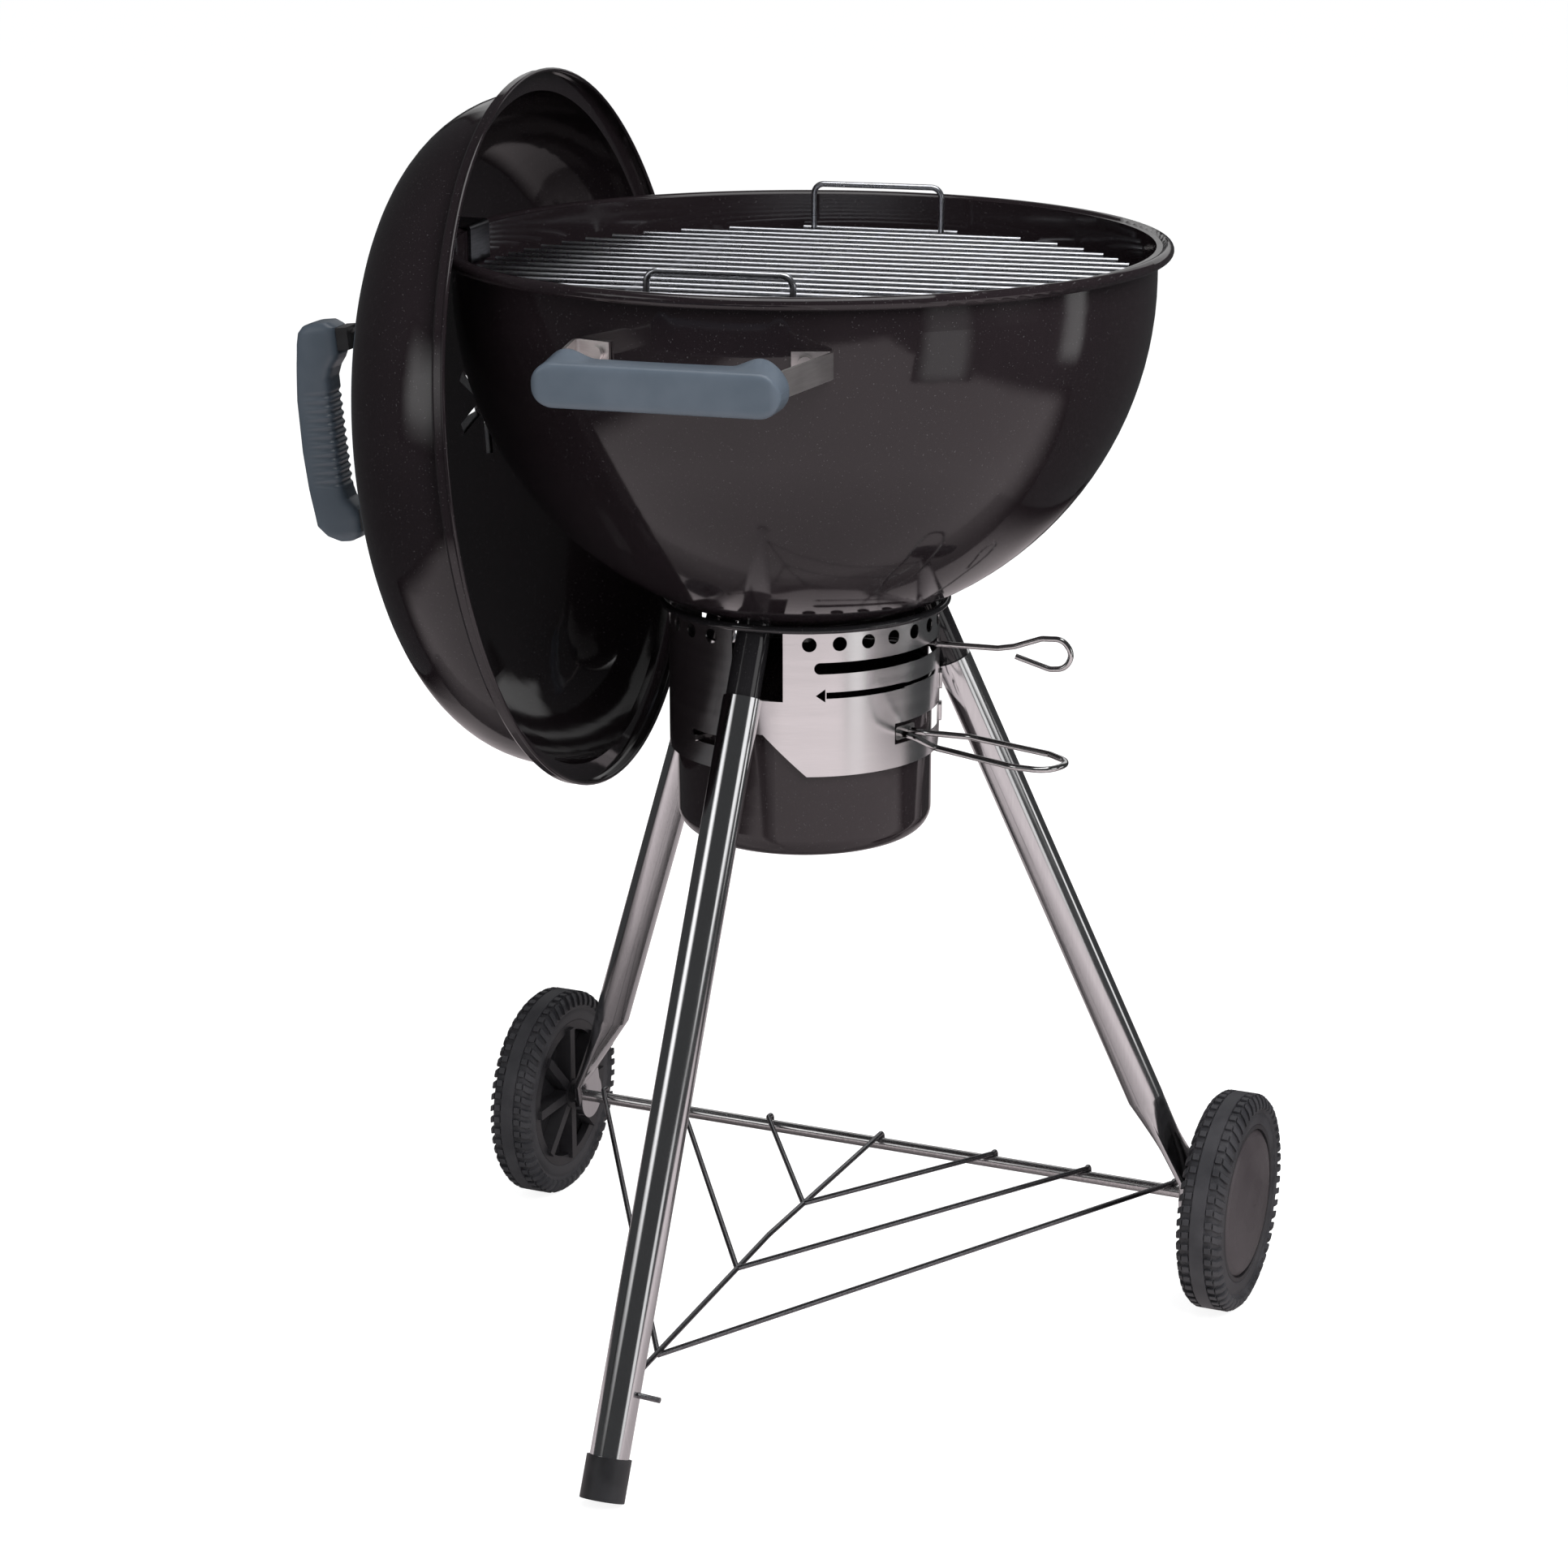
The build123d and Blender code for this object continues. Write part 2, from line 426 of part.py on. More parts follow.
# ---------------------------------------------------------------- lid
# Domed lid hung beside the bowl by its inside hook, with damper, grip and bent grip bracket.
rho, tangent = polar(LID_AZ, 1), polar(LID_AZ + 90, 1)
lean = radians(LID_LEAN)
lid_z = rho * cos(lean) - Vector(0, 0, sin(lean))
lid_frame = Plane(origin=rho * LID_CENTRE[0] + Vector(0, 0, LID_CENTRE[1]), x_dir=tangent, z_dir=lid_z)
cr, cd, sr = LID_SHOULDER
apex_c = cd - sqrt((LID_CROWN_R - sr) ** 2 - cr ** 2)      # depth of the crown arc's centre
join = Vector(cr, cd - apex_c).normalized()               # direction where the two arcs meet
shoulder_r = cr + sr


def lid_arcs(offset):
    """Shoulder and crown arcs of the lid's section, moved in by offset, from mouth to apex."""
    r1, r2 = sr - offset, LID_CROWN_R - offset
    mid, half = Vector(1, 0.45).normalized(), 85.0
    meet = (cr + join.X * r1, cd + join.Y * r1)
    return [ThreePointArc((cr + r1, cd), (cr + mid.X * r1, cd + mid.Y * r1), meet),
            ThreePointArc(meet, (half, apex_c + sqrt(r2 ** 2 - half ** 2)), (0, apex_c + r2))]


outside = [(LID_LIP_R, 0), (LID_LIP_R, 7.0), (LID_LIP_R - 1.4, 8.6), (shoulder_r, 10.4), (shoulder_r, cd)]
inside = [(shoulder_r - LID_T, cd), (shoulder_r - LID_T, 9.4), (LID_LIP_R - 2.0, 7.6),
          (LID_LIP_R - LID_T, 6.4), (LID_LIP_R - LID_T, 0), (LID_LIP_R, 0)]
apex_in, apex_out = apex_c + LID_CROWN_R - LID_T, apex_c + LID_CROWN_R
section_edges = [Line(p, q) for p, q in zip(outside, outside[1:])] + lid_arcs(0)
section_edges += [Line((0, apex_out), (0, apex_in))] + lid_arcs(LID_T)
section_edges += [Line(p, q) for p, q in zip(inside, inside[1:])]
lid_local = revolve(Plane.XZ * make_face(section_edges), axis=Axis.Z)
lid_local += Pos(0, 0, 1.2) * Torus(LID_LIP_R - 0.5, 1.4)
hollow = lid_arcs(LID_T) + [Line((shoulder_r - LID_T, cd), (shoulder_r - LID_T, -20)),
                            Line((shoulder_r - LID_T, -20), (0, -20)), Line((0, -20), (0, apex_in))]
dome_in = revolve(Plane.XZ * make_face(hollow), axis=Axis.Z)
filled = lid_arcs(0) + [Line((shoulder_r, cd), (0, cd)), Line((0, cd), (0, apex_out))]
dome_out = revolve(Plane.XZ * make_face(filled), axis=Axis.Z)

# damper: a round plate outside the dome over six radial slots
PORTS, PORT_OUT, PORT_LONG, PORT_WIDE = 6, 24.5, 24.0, 8.0
PORT_TURN, PLATE_TURN = 8.0, 24.0    # degrees the holes of the lid and of the plate start at
PLATE_R, PLATE_GAP, PLATE_T, TAB_TURN = 40.0, 0.5, 1.0, 54.0
RIVET_R, RIVET_HEAD_R, RIVET_HEAD_T = 2.55, 5.0, 1.6
dr = sqrt(DAMPER_AT[0] ** 2 + DAMPER_AT[1] ** 2)
d_axis = Vector(DAMPER_AT[0], DAMPER_AT[1], sqrt(LID_CROWN_R ** 2 - dr ** 2)).normalized()
d_centre = Vector(0, 0, apex_c) + d_axis * LID_CROWN_R
d_plane = Plane(origin=d_centre, z_dir=d_axis, x_dir=(0, 1, 0))


def six_ports(start):
    """Cut tool: the damper's ring of radial slots."""
    ports = Part()
    for k in range(PORTS):
        ports += Rot(0, 0, 360 / PORTS * k + start) * Pos(PORT_OUT, 0, 0) * Box(PORT_LONG, PORT_WIDE, 40)
    return d_plane * ports


lid_local -= six_ports(PORT_TURN)
lid_local -= d_plane * Cylinder(RIVET_R, 40)
plate_low = LID_CROWN_R + PLATE_GAP
plate_ball = Pos(0, 0, apex_c) * (Sphere(plate_low + PLATE_T) - Sphere(plate_low))
plate_tab = Rot(0, 0, TAB_TURN) * Pos(44, 0, 0) * Box(16, 9, 40)
plate = (d_plane * (Cylinder(PLATE_R, 40) + plate_tab)) & plate_ball
plate -= six_ports(PLATE_TURN)
plate += d_plane * Rot(0, 0, TAB_TURN) * Pos(50.5, 0, 3.0) * Box(1.6, 9, 10)
plate -= d_plane * Cylinder(RIVET_R + CLEARANCE, 40)
rivet = Pos(0, 0, -2.6) * Cylinder(RIVET_R, 6.2, align=BASE)
for head_z in (1.9, -3.4):
    rivet += Pos(0, 0, head_z) * Cylinder(RIVET_HEAD_R, RIVET_HEAD_T, align=BASE)
rivet = d_plane * rivet
rivet -= lid_local

# grip on its bent strip
LID_GRIP = (171.0, 199.0)            # inside and outside distance of the grip from the mouth
LID_GRIP_WIDE = 26.0
RIB_MIDDLE, RIB_PITCH, RIB_R = 4.0, 5.8, 1.3
STRIP_FOOT, STRIP_WIDE, STRIP_T = 104.0, 10.0, 1.6   # bolted end of a strip, from the lid's middle
grip_in, grip_out = LID_GRIP
foot_in = grip_in - 8.5
grip_side = [(grip_in, -39), (foot_in, -45), (foot_in, -63), (grip_in, -67), (grip_out - 14, -66),
             (grip_out - 3.5, -57), (grip_out, -5), (grip_out - 1, 30), (grip_out - 7, 68),
             (grip_out - 11, 76.5), (grip_out - 22, 81), (foot_in, 81.5), (foot_in, 60), (grip_in, 52)]
yz = Plane(origin=(-LID_GRIP_WIDE / 2, 0, 0), z_dir=(1, 0, 0), x_dir=(0, 1, 0))
lid_grip = extrude(yz * make_face(Polyline(*[(y, z) for z, y in grip_side], close=True)), LID_GRIP_WIDE)
lid_grip = fillet(lid_grip.edges().filter_by(lambda e: e.length > 24 and abs((e % 0.5).X) > 0.9), 3)
for k in range(-5, 6):
    lid_grip -= Pos(0, RIB_MIDDLE + RIB_PITCH * k, grip_in) * Rot(0, 90, 0) * Cylinder(RIB_R, 40)


def crown(y):
    """Height of the lid's outside above its mouth at a distance from its middle."""
    return apex_c + sqrt(LID_CROWN_R ** 2 - y ** 2)


lid_strips, lid_blocks, lid_bolts = [], [], []
for s, y_end in ((1, 71), (-1, -54)):
    foot_y = STRIP_FOOT * s
    z_foot = crown(STRIP_FOOT) + STRIP_T
    pts = [(foot_y + 9 * s, z_foot - 2.2), (foot_y - 6 * s, z_foot + 1.4), (y_end, foot_in - 3.5)]
    line = Plane(origin=(0, 0, 0), z_dir=(1, 0, 0), x_dir=(0, 1, 0)) * FilletPolyline(*pts, radius=3)
    section = Plane(origin=line @ 0, z_dir=line % 0, x_dir=(1, 0, 0)) * Rectangle(STRIP_WIDE, STRIP_T)
    piece = sweep(section, path=line) - dome_out
    block = Pos(0, y_end - 1 * s, foot_in - 4.0) * Box(20, 15, 8.2) - lid_grip
    piece -= block
    bolt = Pos(0, foot_y, 0) * Cylinder(2.4, z_foot + 3, align=BASE)
    head = Pos(0, foot_y, z_foot + 0.9) * Cylinder(4.5, 2.6, align=BASE)
    bolt = (bolt - Pos(0, foot_y, 0) * Cylinder(10, crown(STRIP_FOOT) - 7, align=BASE)) + head
    lid_strips.append(piece - bolt)
    lid_blocks.append(block)
    lid_bolts.append(bolt)
    lid_local -= bolt

# hook inside the lid that rests on the bowl's rim
hook_plane = Plane(origin=rho * 0, x_dir=rho, z_dir=tangent * -1)


def in_lid(y, d):
    """Distance from the bowl's axis and height of a point in the lid's middle plane."""
    return (LID_CENTRE[0] + y * sin(lean) + d * cos(lean), LID_CENTRE[1] + y * cos(lean) - d * sin(lean))


HOOK_T, HOOK_WIDE, RIVET_APART = 2.0, 34.0, 10.0
rim_top = RIM_Z + BEAD_R + 0.08 + HOOK_T / 2
hook_pts = [in_lid(177, 82.5), in_lid(158, 90.5), (252, rim_top), (222.4, rim_top), (222.4, 723.5)]
hook_line = hook_plane * FilletPolyline(*hook_pts, radius=2.5)
hook_cross = Plane(origin=hook_line @ 0, z_dir=hook_line % 0, x_dir=tangent) * Rectangle(HOOK_WIDE, HOOK_T)
hook = sweep(hook_cross, path=hook_line)
dome_cavity = lid_frame * dome_in
hook = biggest(hook & dome_cavity)
lid = lid_frame * lid_local
hook_rivets = []
for s in (-1, 1):
    lo, hi = in_lid(168.4, 76.0), in_lid(177.9, 96.0)
    p0 = rho * lo[0] + Vector(0, 0, lo[1]) + tangent * RIVET_APART * s
    p1 = rho * hi[0] + Vector(0, 0, hi[1]) + tangent * RIVET_APART * s
    n = (p1 - p0).normalized()
    pin = bar(p0 + n * 7.5, p0 + n * 15.5, 4.0) + bar(p0 + n * 5.0, p0 + n * 7.8, 8.0)
    hook_rivets.append(pin)
for r in hook_rivets:
    hook = hook - r
    lid = lid - r

# ---------------------------------------------------------------- write the parts
out(bowl, "bowl")
out(sockets, "leg_sockets")
out(hoop, "socket_hoop")
out(leg_front, "leg_front")
out(foot, "foot_cap")
out(legs_rear, "legs_rear")
out(axle, "axle")
out(spacers, "axle_spacers")
out(push_caps, "push_caps")
for side, name in ((-1, "left"), (1, "right")):
    tyre, hub, cap = wheel(side)
    out(tyre, "tyre_" + name)
    out(hub, "wheel_" + name)
    out(cap, "hubcap_" + name)
out(spine, "rack_spine")
out(arms, "rack_arms")
out(band, "ash_band")
out(clips, "band_clips")
out(bucket, "ash_bucket")
out(bucket_handle, "bucket_handle")
out(lugs, "bucket_lugs")
out(saddle, "bucket_saddle")
out(blades, "sweeper_blades")
out(shaft, "sweeper_shaft")
out(collar, "sweeper_collar")
out(shaft_nut, "sweeper_nut")
out(lever, "vent_lever")
out(cooking_wires, "cooking_grate")
out(cooking_rods, "cooking_grate_rods")
out(loops, "grate_handles")
out(coal_wires, "charcoal_grate")
out(coal_rods, "charcoal_grate_rods")
out(grips, "bowl_grips")
out(brackets, "bowl_brackets")
out(bolts, "bracket_bolts")
out(tabs, "cooking_grate_tabs")
out(coal_tabs, "charcoal_grate_tabs")
out(lid, "lid")
out(lid_frame * plate, "lid_damper")
out(lid_frame * rivet, "damper_rivet")
out(lid_frame * lid_grip, "lid_grip")
out([lid_frame * s for s in lid_strips], "lid_grip_strips")
out([lid_frame * s for s in lid_blocks], "lid_grip_blocks")
out([lid_frame * s for s in lid_bolts], "lid_grip_bolts")
out(hook, "lid_hook")
out(hook_rivets, "hook_rivets")
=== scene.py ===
import math

import bmesh
import bpy
from mathutils import Matrix, Vector


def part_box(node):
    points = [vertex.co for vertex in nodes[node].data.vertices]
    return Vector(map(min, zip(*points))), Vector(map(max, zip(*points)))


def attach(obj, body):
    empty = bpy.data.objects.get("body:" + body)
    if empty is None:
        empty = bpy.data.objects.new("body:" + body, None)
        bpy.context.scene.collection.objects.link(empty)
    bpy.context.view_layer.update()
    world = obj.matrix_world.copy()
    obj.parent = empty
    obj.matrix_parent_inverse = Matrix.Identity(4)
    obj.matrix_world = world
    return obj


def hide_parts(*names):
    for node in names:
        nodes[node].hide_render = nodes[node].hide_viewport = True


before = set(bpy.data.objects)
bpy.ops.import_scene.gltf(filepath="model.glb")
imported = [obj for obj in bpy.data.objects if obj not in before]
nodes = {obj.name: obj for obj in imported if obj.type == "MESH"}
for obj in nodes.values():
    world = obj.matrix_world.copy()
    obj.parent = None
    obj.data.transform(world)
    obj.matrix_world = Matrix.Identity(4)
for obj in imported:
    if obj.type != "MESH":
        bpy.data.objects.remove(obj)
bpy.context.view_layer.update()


# ---------------------------------------------------------------- bowl
# The deep round-bottomed fire bowl is pressed from sheet steel and fired with glossy black
# vitreous enamel. Its rim is rolled into a bead that the lid and the lid's hook rest on.
bowl_low, bowl_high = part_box("bowl")
bowl_axis = (bowl_low + bowl_high) / 2
SPECK_COLOUR = (0.045, 0.042, 0.044)
PEEL_SHARE = 0.12                    # how much of the height is fine orange peel
ENAMEL_IOR = 1.52
ENAMEL_RELIEF = 0.00011


def surface_group(name, inputs, outputs):
    """Empty shader group with named number inputs and outputs."""
    tree = bpy.data.node_groups.new(name, "ShaderNodeTree")
    for label, value in inputs.items():
        socket = tree.interface.new_socket(label, in_out="INPUT", socket_type="NodeSocketFloat")
        socket.default_value = value
    for label in outputs:
        tree.interface.new_socket(label, in_out="OUTPUT", socket_type="NodeSocketFloat")
    return tree, tree.nodes.new("NodeGroupInput"), tree.nodes.new("NodeGroupOutput")


def noise(tree, place, scale, detail=2.0, rough=0.5):
    """Noise texture read at the given coordinates; scale is a number or a socket."""
    node = tree.nodes.new("ShaderNodeTexNoise")
    node.inputs["Detail"].default_value = detail
    node.inputs["Roughness"].default_value = rough
    tree.links.new(place, node.inputs["Vector"])
    if isinstance(scale, (int, float)):
        node.inputs["Scale"].default_value = scale
    else:
        tree.links.new(scale, node.inputs["Scale"])
    return node.outputs["Fac"]


def remap(tree, value, low, high, to_low, to_high):
    """Map Range of a value from low..high to to_low..to_high."""
    node = tree.nodes.new("ShaderNodeMapRange")
    tree.links.new(value, node.inputs["Value"])
    limits = {"From Min": low, "From Max": high, "To Min": to_low, "To Max": to_high}
    for label, number in limits.items():
        node.inputs[label].default_value = number
    return node.outputs["Result"]


def combine(tree, operation, a, b):
    """Math node of two values; either may be a number."""
    node = tree.nodes.new("ShaderNodeMath")
    node.operation = operation
    for socket, value in zip(node.inputs, (a, b)):
        if isinstance(value, (int, float)):
            socket.default_value = value
        else:
            tree.links.new(value, socket)
    return node.outputs["Value"]


fired, fired_in, fired_out = surface_group(
    "fired_enamel", {"Ripple Scale": 60.0, "Peel Scale": 380.0}, ["Height", "Haze", "Specks"])
fired_place = fired.nodes.new("ShaderNodeTexCoord").outputs["Object"]
fired_ripple = noise(fired, fired_place, fired_in.outputs["Ripple Scale"], 1.0)
fired_peel = noise(fired, fired_place, fired_in.outputs["Peel Scale"], 2.0)
fired_height = combine(fired, "ADD", fired_ripple, combine(fired, "MULTIPLY", fired_peel, PEEL_SHARE))
fired_specks = remap(fired, noise(fired, fired_place, 900.0, 1.0), 0.70, 0.76, 0.0, 1.0)
fired_haze = noise(fired, fired_place, 9.0, 4.0, 0.6)
fired.links.new(fired_height, fired_out.inputs["Height"])
fired.links.new(fired_haze, fired_out.inputs["Haze"])
fired.links.new(fired_specks, fired_out.inputs["Specks"])


def new_finish(name, metallic=0.0):
    """Material with a bare Principled BSDF; returns the material, its tree and the shader."""
    material = bpy.data.materials.new(name)
    material.use_nodes = True
    shader = material.node_tree.nodes["Principled BSDF"]
    shader.inputs["Metallic"].default_value = metallic
    return material, material.node_tree, shader


def place_group(tree, group, **values):
    """Puts a shader group into a material with its own input values."""
    node = tree.nodes.new("ShaderNodeGroup")
    node.node_tree = group
    for label, value in values.items():
        node.inputs[label.replace("_", " ")].default_value = value
    return node.outputs


def tint(tree, factor, dark, light):
    """Colour that runs from dark to light with a factor."""
    node = tree.nodes.new("ShaderNodeMix")
    node.data_type = "RGBA"
    tree.links.new(factor, node.inputs["Factor"])
    node.inputs["A"].default_value = (*dark, 1.0)
    node.inputs["B"].default_value = (*light, 1.0)
    return node.outputs["Result"]


def bump(tree, height, shader, depth, strength):
    """Feeds a height into the shader's normal; depth is in metres."""
    node = tree.nodes.new("ShaderNodeBump")
    node.inputs["Strength"].default_value = strength
    node.inputs["Distance"].default_value = depth
    tree.links.new(height, node.inputs["Height"])
    tree.links.new(node.outputs["Normal"], shader.inputs["Normal"])


def enamel(name, dark, light, ripple=60.0):
    """Glossy fired enamel over steel."""
    material, tree, shader = new_finish(name)
    coat = place_group(tree, fired, Ripple_Scale=ripple)
    body = tint(tree, coat["Haze"], dark, light)
    speckled = tree.nodes.new("ShaderNodeMix")
    speckled.data_type = "RGBA"
    tree.links.new(coat["Specks"], speckled.inputs["Factor"])
    tree.links.new(body, speckled.inputs["A"])
    speckled.inputs["B"].default_value = (*SPECK_COLOUR, 1.0)
    tree.links.new(speckled.outputs["Result"], shader.inputs["Base Color"])
    tree.links.new(remap(tree, coat["Haze"], 0.3, 0.7, 0.05, 0.11), shader.inputs["Roughness"])
    shader.inputs["IOR"].default_value = ENAMEL_IOR
    bump(tree, coat["Height"], shader, ENAMEL_RELIEF, 0.5)
    return material


def coat_nodes(material, *names):
    """Gives CAD pieces their finish."""
    for name in names:
        mesh = nodes[name].data
        mesh.materials.clear()
        mesh.materials.append(material)


bowl_enamel = enamel("bowl_enamel", (0.0065, 0.0048, 0.0056), (0.013, 0.0095, 0.011))
coat_nodes(bowl_enamel, "bowl")


# ---------------------------------------------------------------- leg sockets and their hoop
# Three short black stubs are welded under the bowl, tied together by a wire hoop. They are
# dipped in gloss paint and the chrome legs push over them.
socket_paint = enamel("socket_paint", (0.006, 0.006, 0.007), (0.012, 0.011, 0.012), 140.0)
coat_nodes(socket_paint, "leg_sockets", "socket_hoop")


# ---------------------------------------------------------------- legs
# Inch tube, welded, drawn and chrome plated, with faint lines from the drawing that run along
# the tube. The rear pair is pressed flat at the lower ends to sit on the axle.
drawn, drawn_in, drawn_out = surface_group(
    "drawn_lines", {"Across": 900.0, "Along": 5.0}, ["Height", "Streaks", "Smudges"])
drawn_place = drawn.nodes.new("ShaderNodeTexCoord").outputs["Object"]
drawn_apart = drawn.nodes.new("ShaderNodeSeparateXYZ")
drawn.links.new(drawn_place, drawn_apart.inputs["Vector"])
drawn_stretched = drawn.nodes.new("ShaderNodeCombineXYZ")
for axis, label in (("X", "Across"), ("Y", "Across"), ("Z", "Along")):
    stretched = combine(drawn, "MULTIPLY", drawn_apart.outputs[axis], drawn_in.outputs[label])
    drawn.links.new(stretched, drawn_stretched.inputs[axis])
drawn_lines = noise(drawn, drawn_stretched.outputs["Vector"], 1.0, 3.0, 0.6)
drawn_smudges = noise(drawn, drawn_place, 22.0, 4.0, 0.65)
drawn.links.new(drawn_lines, drawn_out.inputs["Height"])
drawn.links.new(remap(drawn, drawn_lines, 0.35, 0.65, 0.0, 1.0), drawn_out.inputs["Streaks"])
drawn.links.new(remap(drawn, drawn_smudges, 0.4, 0.75, 0.0, 1.0), drawn_out.inputs["Smudges"])


PLATING_RELIEF = 0.000008


def plating(name, dark, light, rough_low, rough_high, across=900.0, along=5.0):
    """Bright plating over drawn steel."""
    material, tree, shader = new_finish(name, 1.0)
    marks = place_group(tree, drawn, Across=across, Along=along)
    tree.links.new(tint(tree, marks["Streaks"], dark, light), shader.inputs["Base Color"])
    roughness = remap(tree, marks["Smudges"], 0.0, 1.0, rough_low, rough_high)
    tree.links.new(roughness, shader.inputs["Roughness"])
    bump(tree, marks["Height"], shader, PLATING_RELIEF, 0.15)
    return material


leg_chrome = plating("leg_chrome", (0.70, 0.70, 0.71), (0.74, 0.74, 0.75), 0.12, 0.17)
coat_nodes(leg_chrome, "leg_front", "legs_rear")


# ---------------------------------------------------------------- front foot
# A black moulded cap is pushed over the cut end of the front leg and is what the grill stands
# on. Its skin has the fine grain that the mould leaves.
moulded, moulded_in, moulded_out = surface_group(
    "moulded_grain", {"Grain Scale": 1400.0, "Flow Scale": 35.0}, ["Height", "Flow"])
moulded_place = moulded.nodes.new("ShaderNodeTexCoord").outputs["Object"]
moulded_grain = noise(moulded, moulded_place, moulded_in.outputs["Grain Scale"], 2.0)
moulded_flow = noise(moulded, moulded_place, moulded_in.outputs["Flow Scale"], 3.0, 0.6)
moulded.links.new(moulded_grain, moulded_out.inputs["Height"])
moulded.links.new(remap(moulded, moulded_flow, 0.35, 0.65, 0.0, 1.0), moulded_out.inputs["Flow"])


def moulding(name, dark, light, rough_low, rough_high, depth=0.00006, grain=1400.0):
    """Moulded plastic or rubber."""
    material, tree, shader = new_finish(name)
    skin = place_group(tree, moulded, Grain_Scale=grain)
    tree.links.new(tint(tree, skin["Flow"], dark, light), shader.inputs["Base Color"])
    roughness = remap(tree, skin["Flow"], 0.0, 1.0, rough_low, rough_high)
    tree.links.new(roughness, shader.inputs["Roughness"])
    bump(tree, skin["Height"], shader, depth, 0.6)
    return material


foot_plastic = moulding("foot_plastic", (0.010, 0.010, 0.011), (0.018, 0.018, 0.020), 0.38, 0.5)
coat_nodes(foot_plastic, "foot_cap")


# ---------------------------------------------------------------- axle
# One zinc-plated rod through both rear legs, with a black spacer between each leg and wheel and
# a spring push cap on each end, under the hubcap.
axle_zinc = plating("axle_zinc", (0.66, 0.65, 0.65), (0.78, 0.77, 0.77), 0.18, 0.28, 500.0, 500.0)
spacer_plastic = moulding("spacer_plastic", (0.012, 0.012, 0.013), (0.02, 0.02, 0.022), 0.35, 0.5)
coat_nodes(axle_zinc, "axle", "push_caps")
coat_nodes(spacer_plastic, "axle_spacers")


# ---------------------------------------------------------------- tyres
# Solid moulded tyres with a smooth centre rib, a row of tread bars on each side of it, and
# slanted shoulder lugs that stand out past the side wall.
LUGS = 52
LUG_RISE = 0.002392                  # how far bars and lugs stand above the groove
LUG_SLANT = math.radians(2.6)
TREAD_GROOVE = 0.0024
RIB_HALF, BAR_FROM, BAR_TO, SHOULDER_FROM = 0.0048, 0.0056, 0.0104, 0.0112
SHOULDER_FOOT = 0.066                # radius where the shoulder lugs end
SIDE_INSET, SIDE_RISE = 0.0022, 0.0019
TYRE_BORE = 0.055
MOULDED_EDGE, SHARP_FROM = 0.00035, math.radians(32)
tyre_rubber = moulding("tyre_rubber", (0.021, 0.021, 0.024), (0.036, 0.035, 0.039), 0.44, 0.58,
                       0.00008, 900.0)


def spun_about_x(profile, steps):
    """Closed ring of revolution about the X axis; the profile is (x, radius) points."""
    bm = bmesh.new()
    points = [bm.verts.new((x, 0.0, r)) for x, r in profile]
    edges = [bm.edges.new(pair) for pair in zip(points, points[1:] + points[:1])]
    bmesh.ops.spin(bm, geom=points + edges, cent=(0, 0, 0), axis=(1, 0, 0), angle=math.tau,
                   steps=steps, use_merge=True, use_duplicate=False)
    bmesh.ops.remove_doubles(bm, verts=bm.verts, dist=1e-6)
    bmesh.ops.recalc_face_normals(bm, faces=bm.faces)
    return bm


def finish_piece(bm, name, material, body, centre=None):
    """Turns a bmesh into a smooth-shaded piece on a body; centre moves its points into place."""
    if centre is not None:
        bmesh.ops.translate(bm, verts=bm.verts, vec=centre)
    mesh = bpy.data.meshes.new(name)
    bm.to_mesh(mesh)
    bm.free()
    mesh.materials.append(material)
    piece = bpy.data.objects.new(name, mesh)
    bpy.context.scene.collection.objects.link(piece)
    mesh.shade_smooth()
    mesh.set_sharp_from_angle(angle=SHARP_FROM)
    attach(piece, body)
    return piece


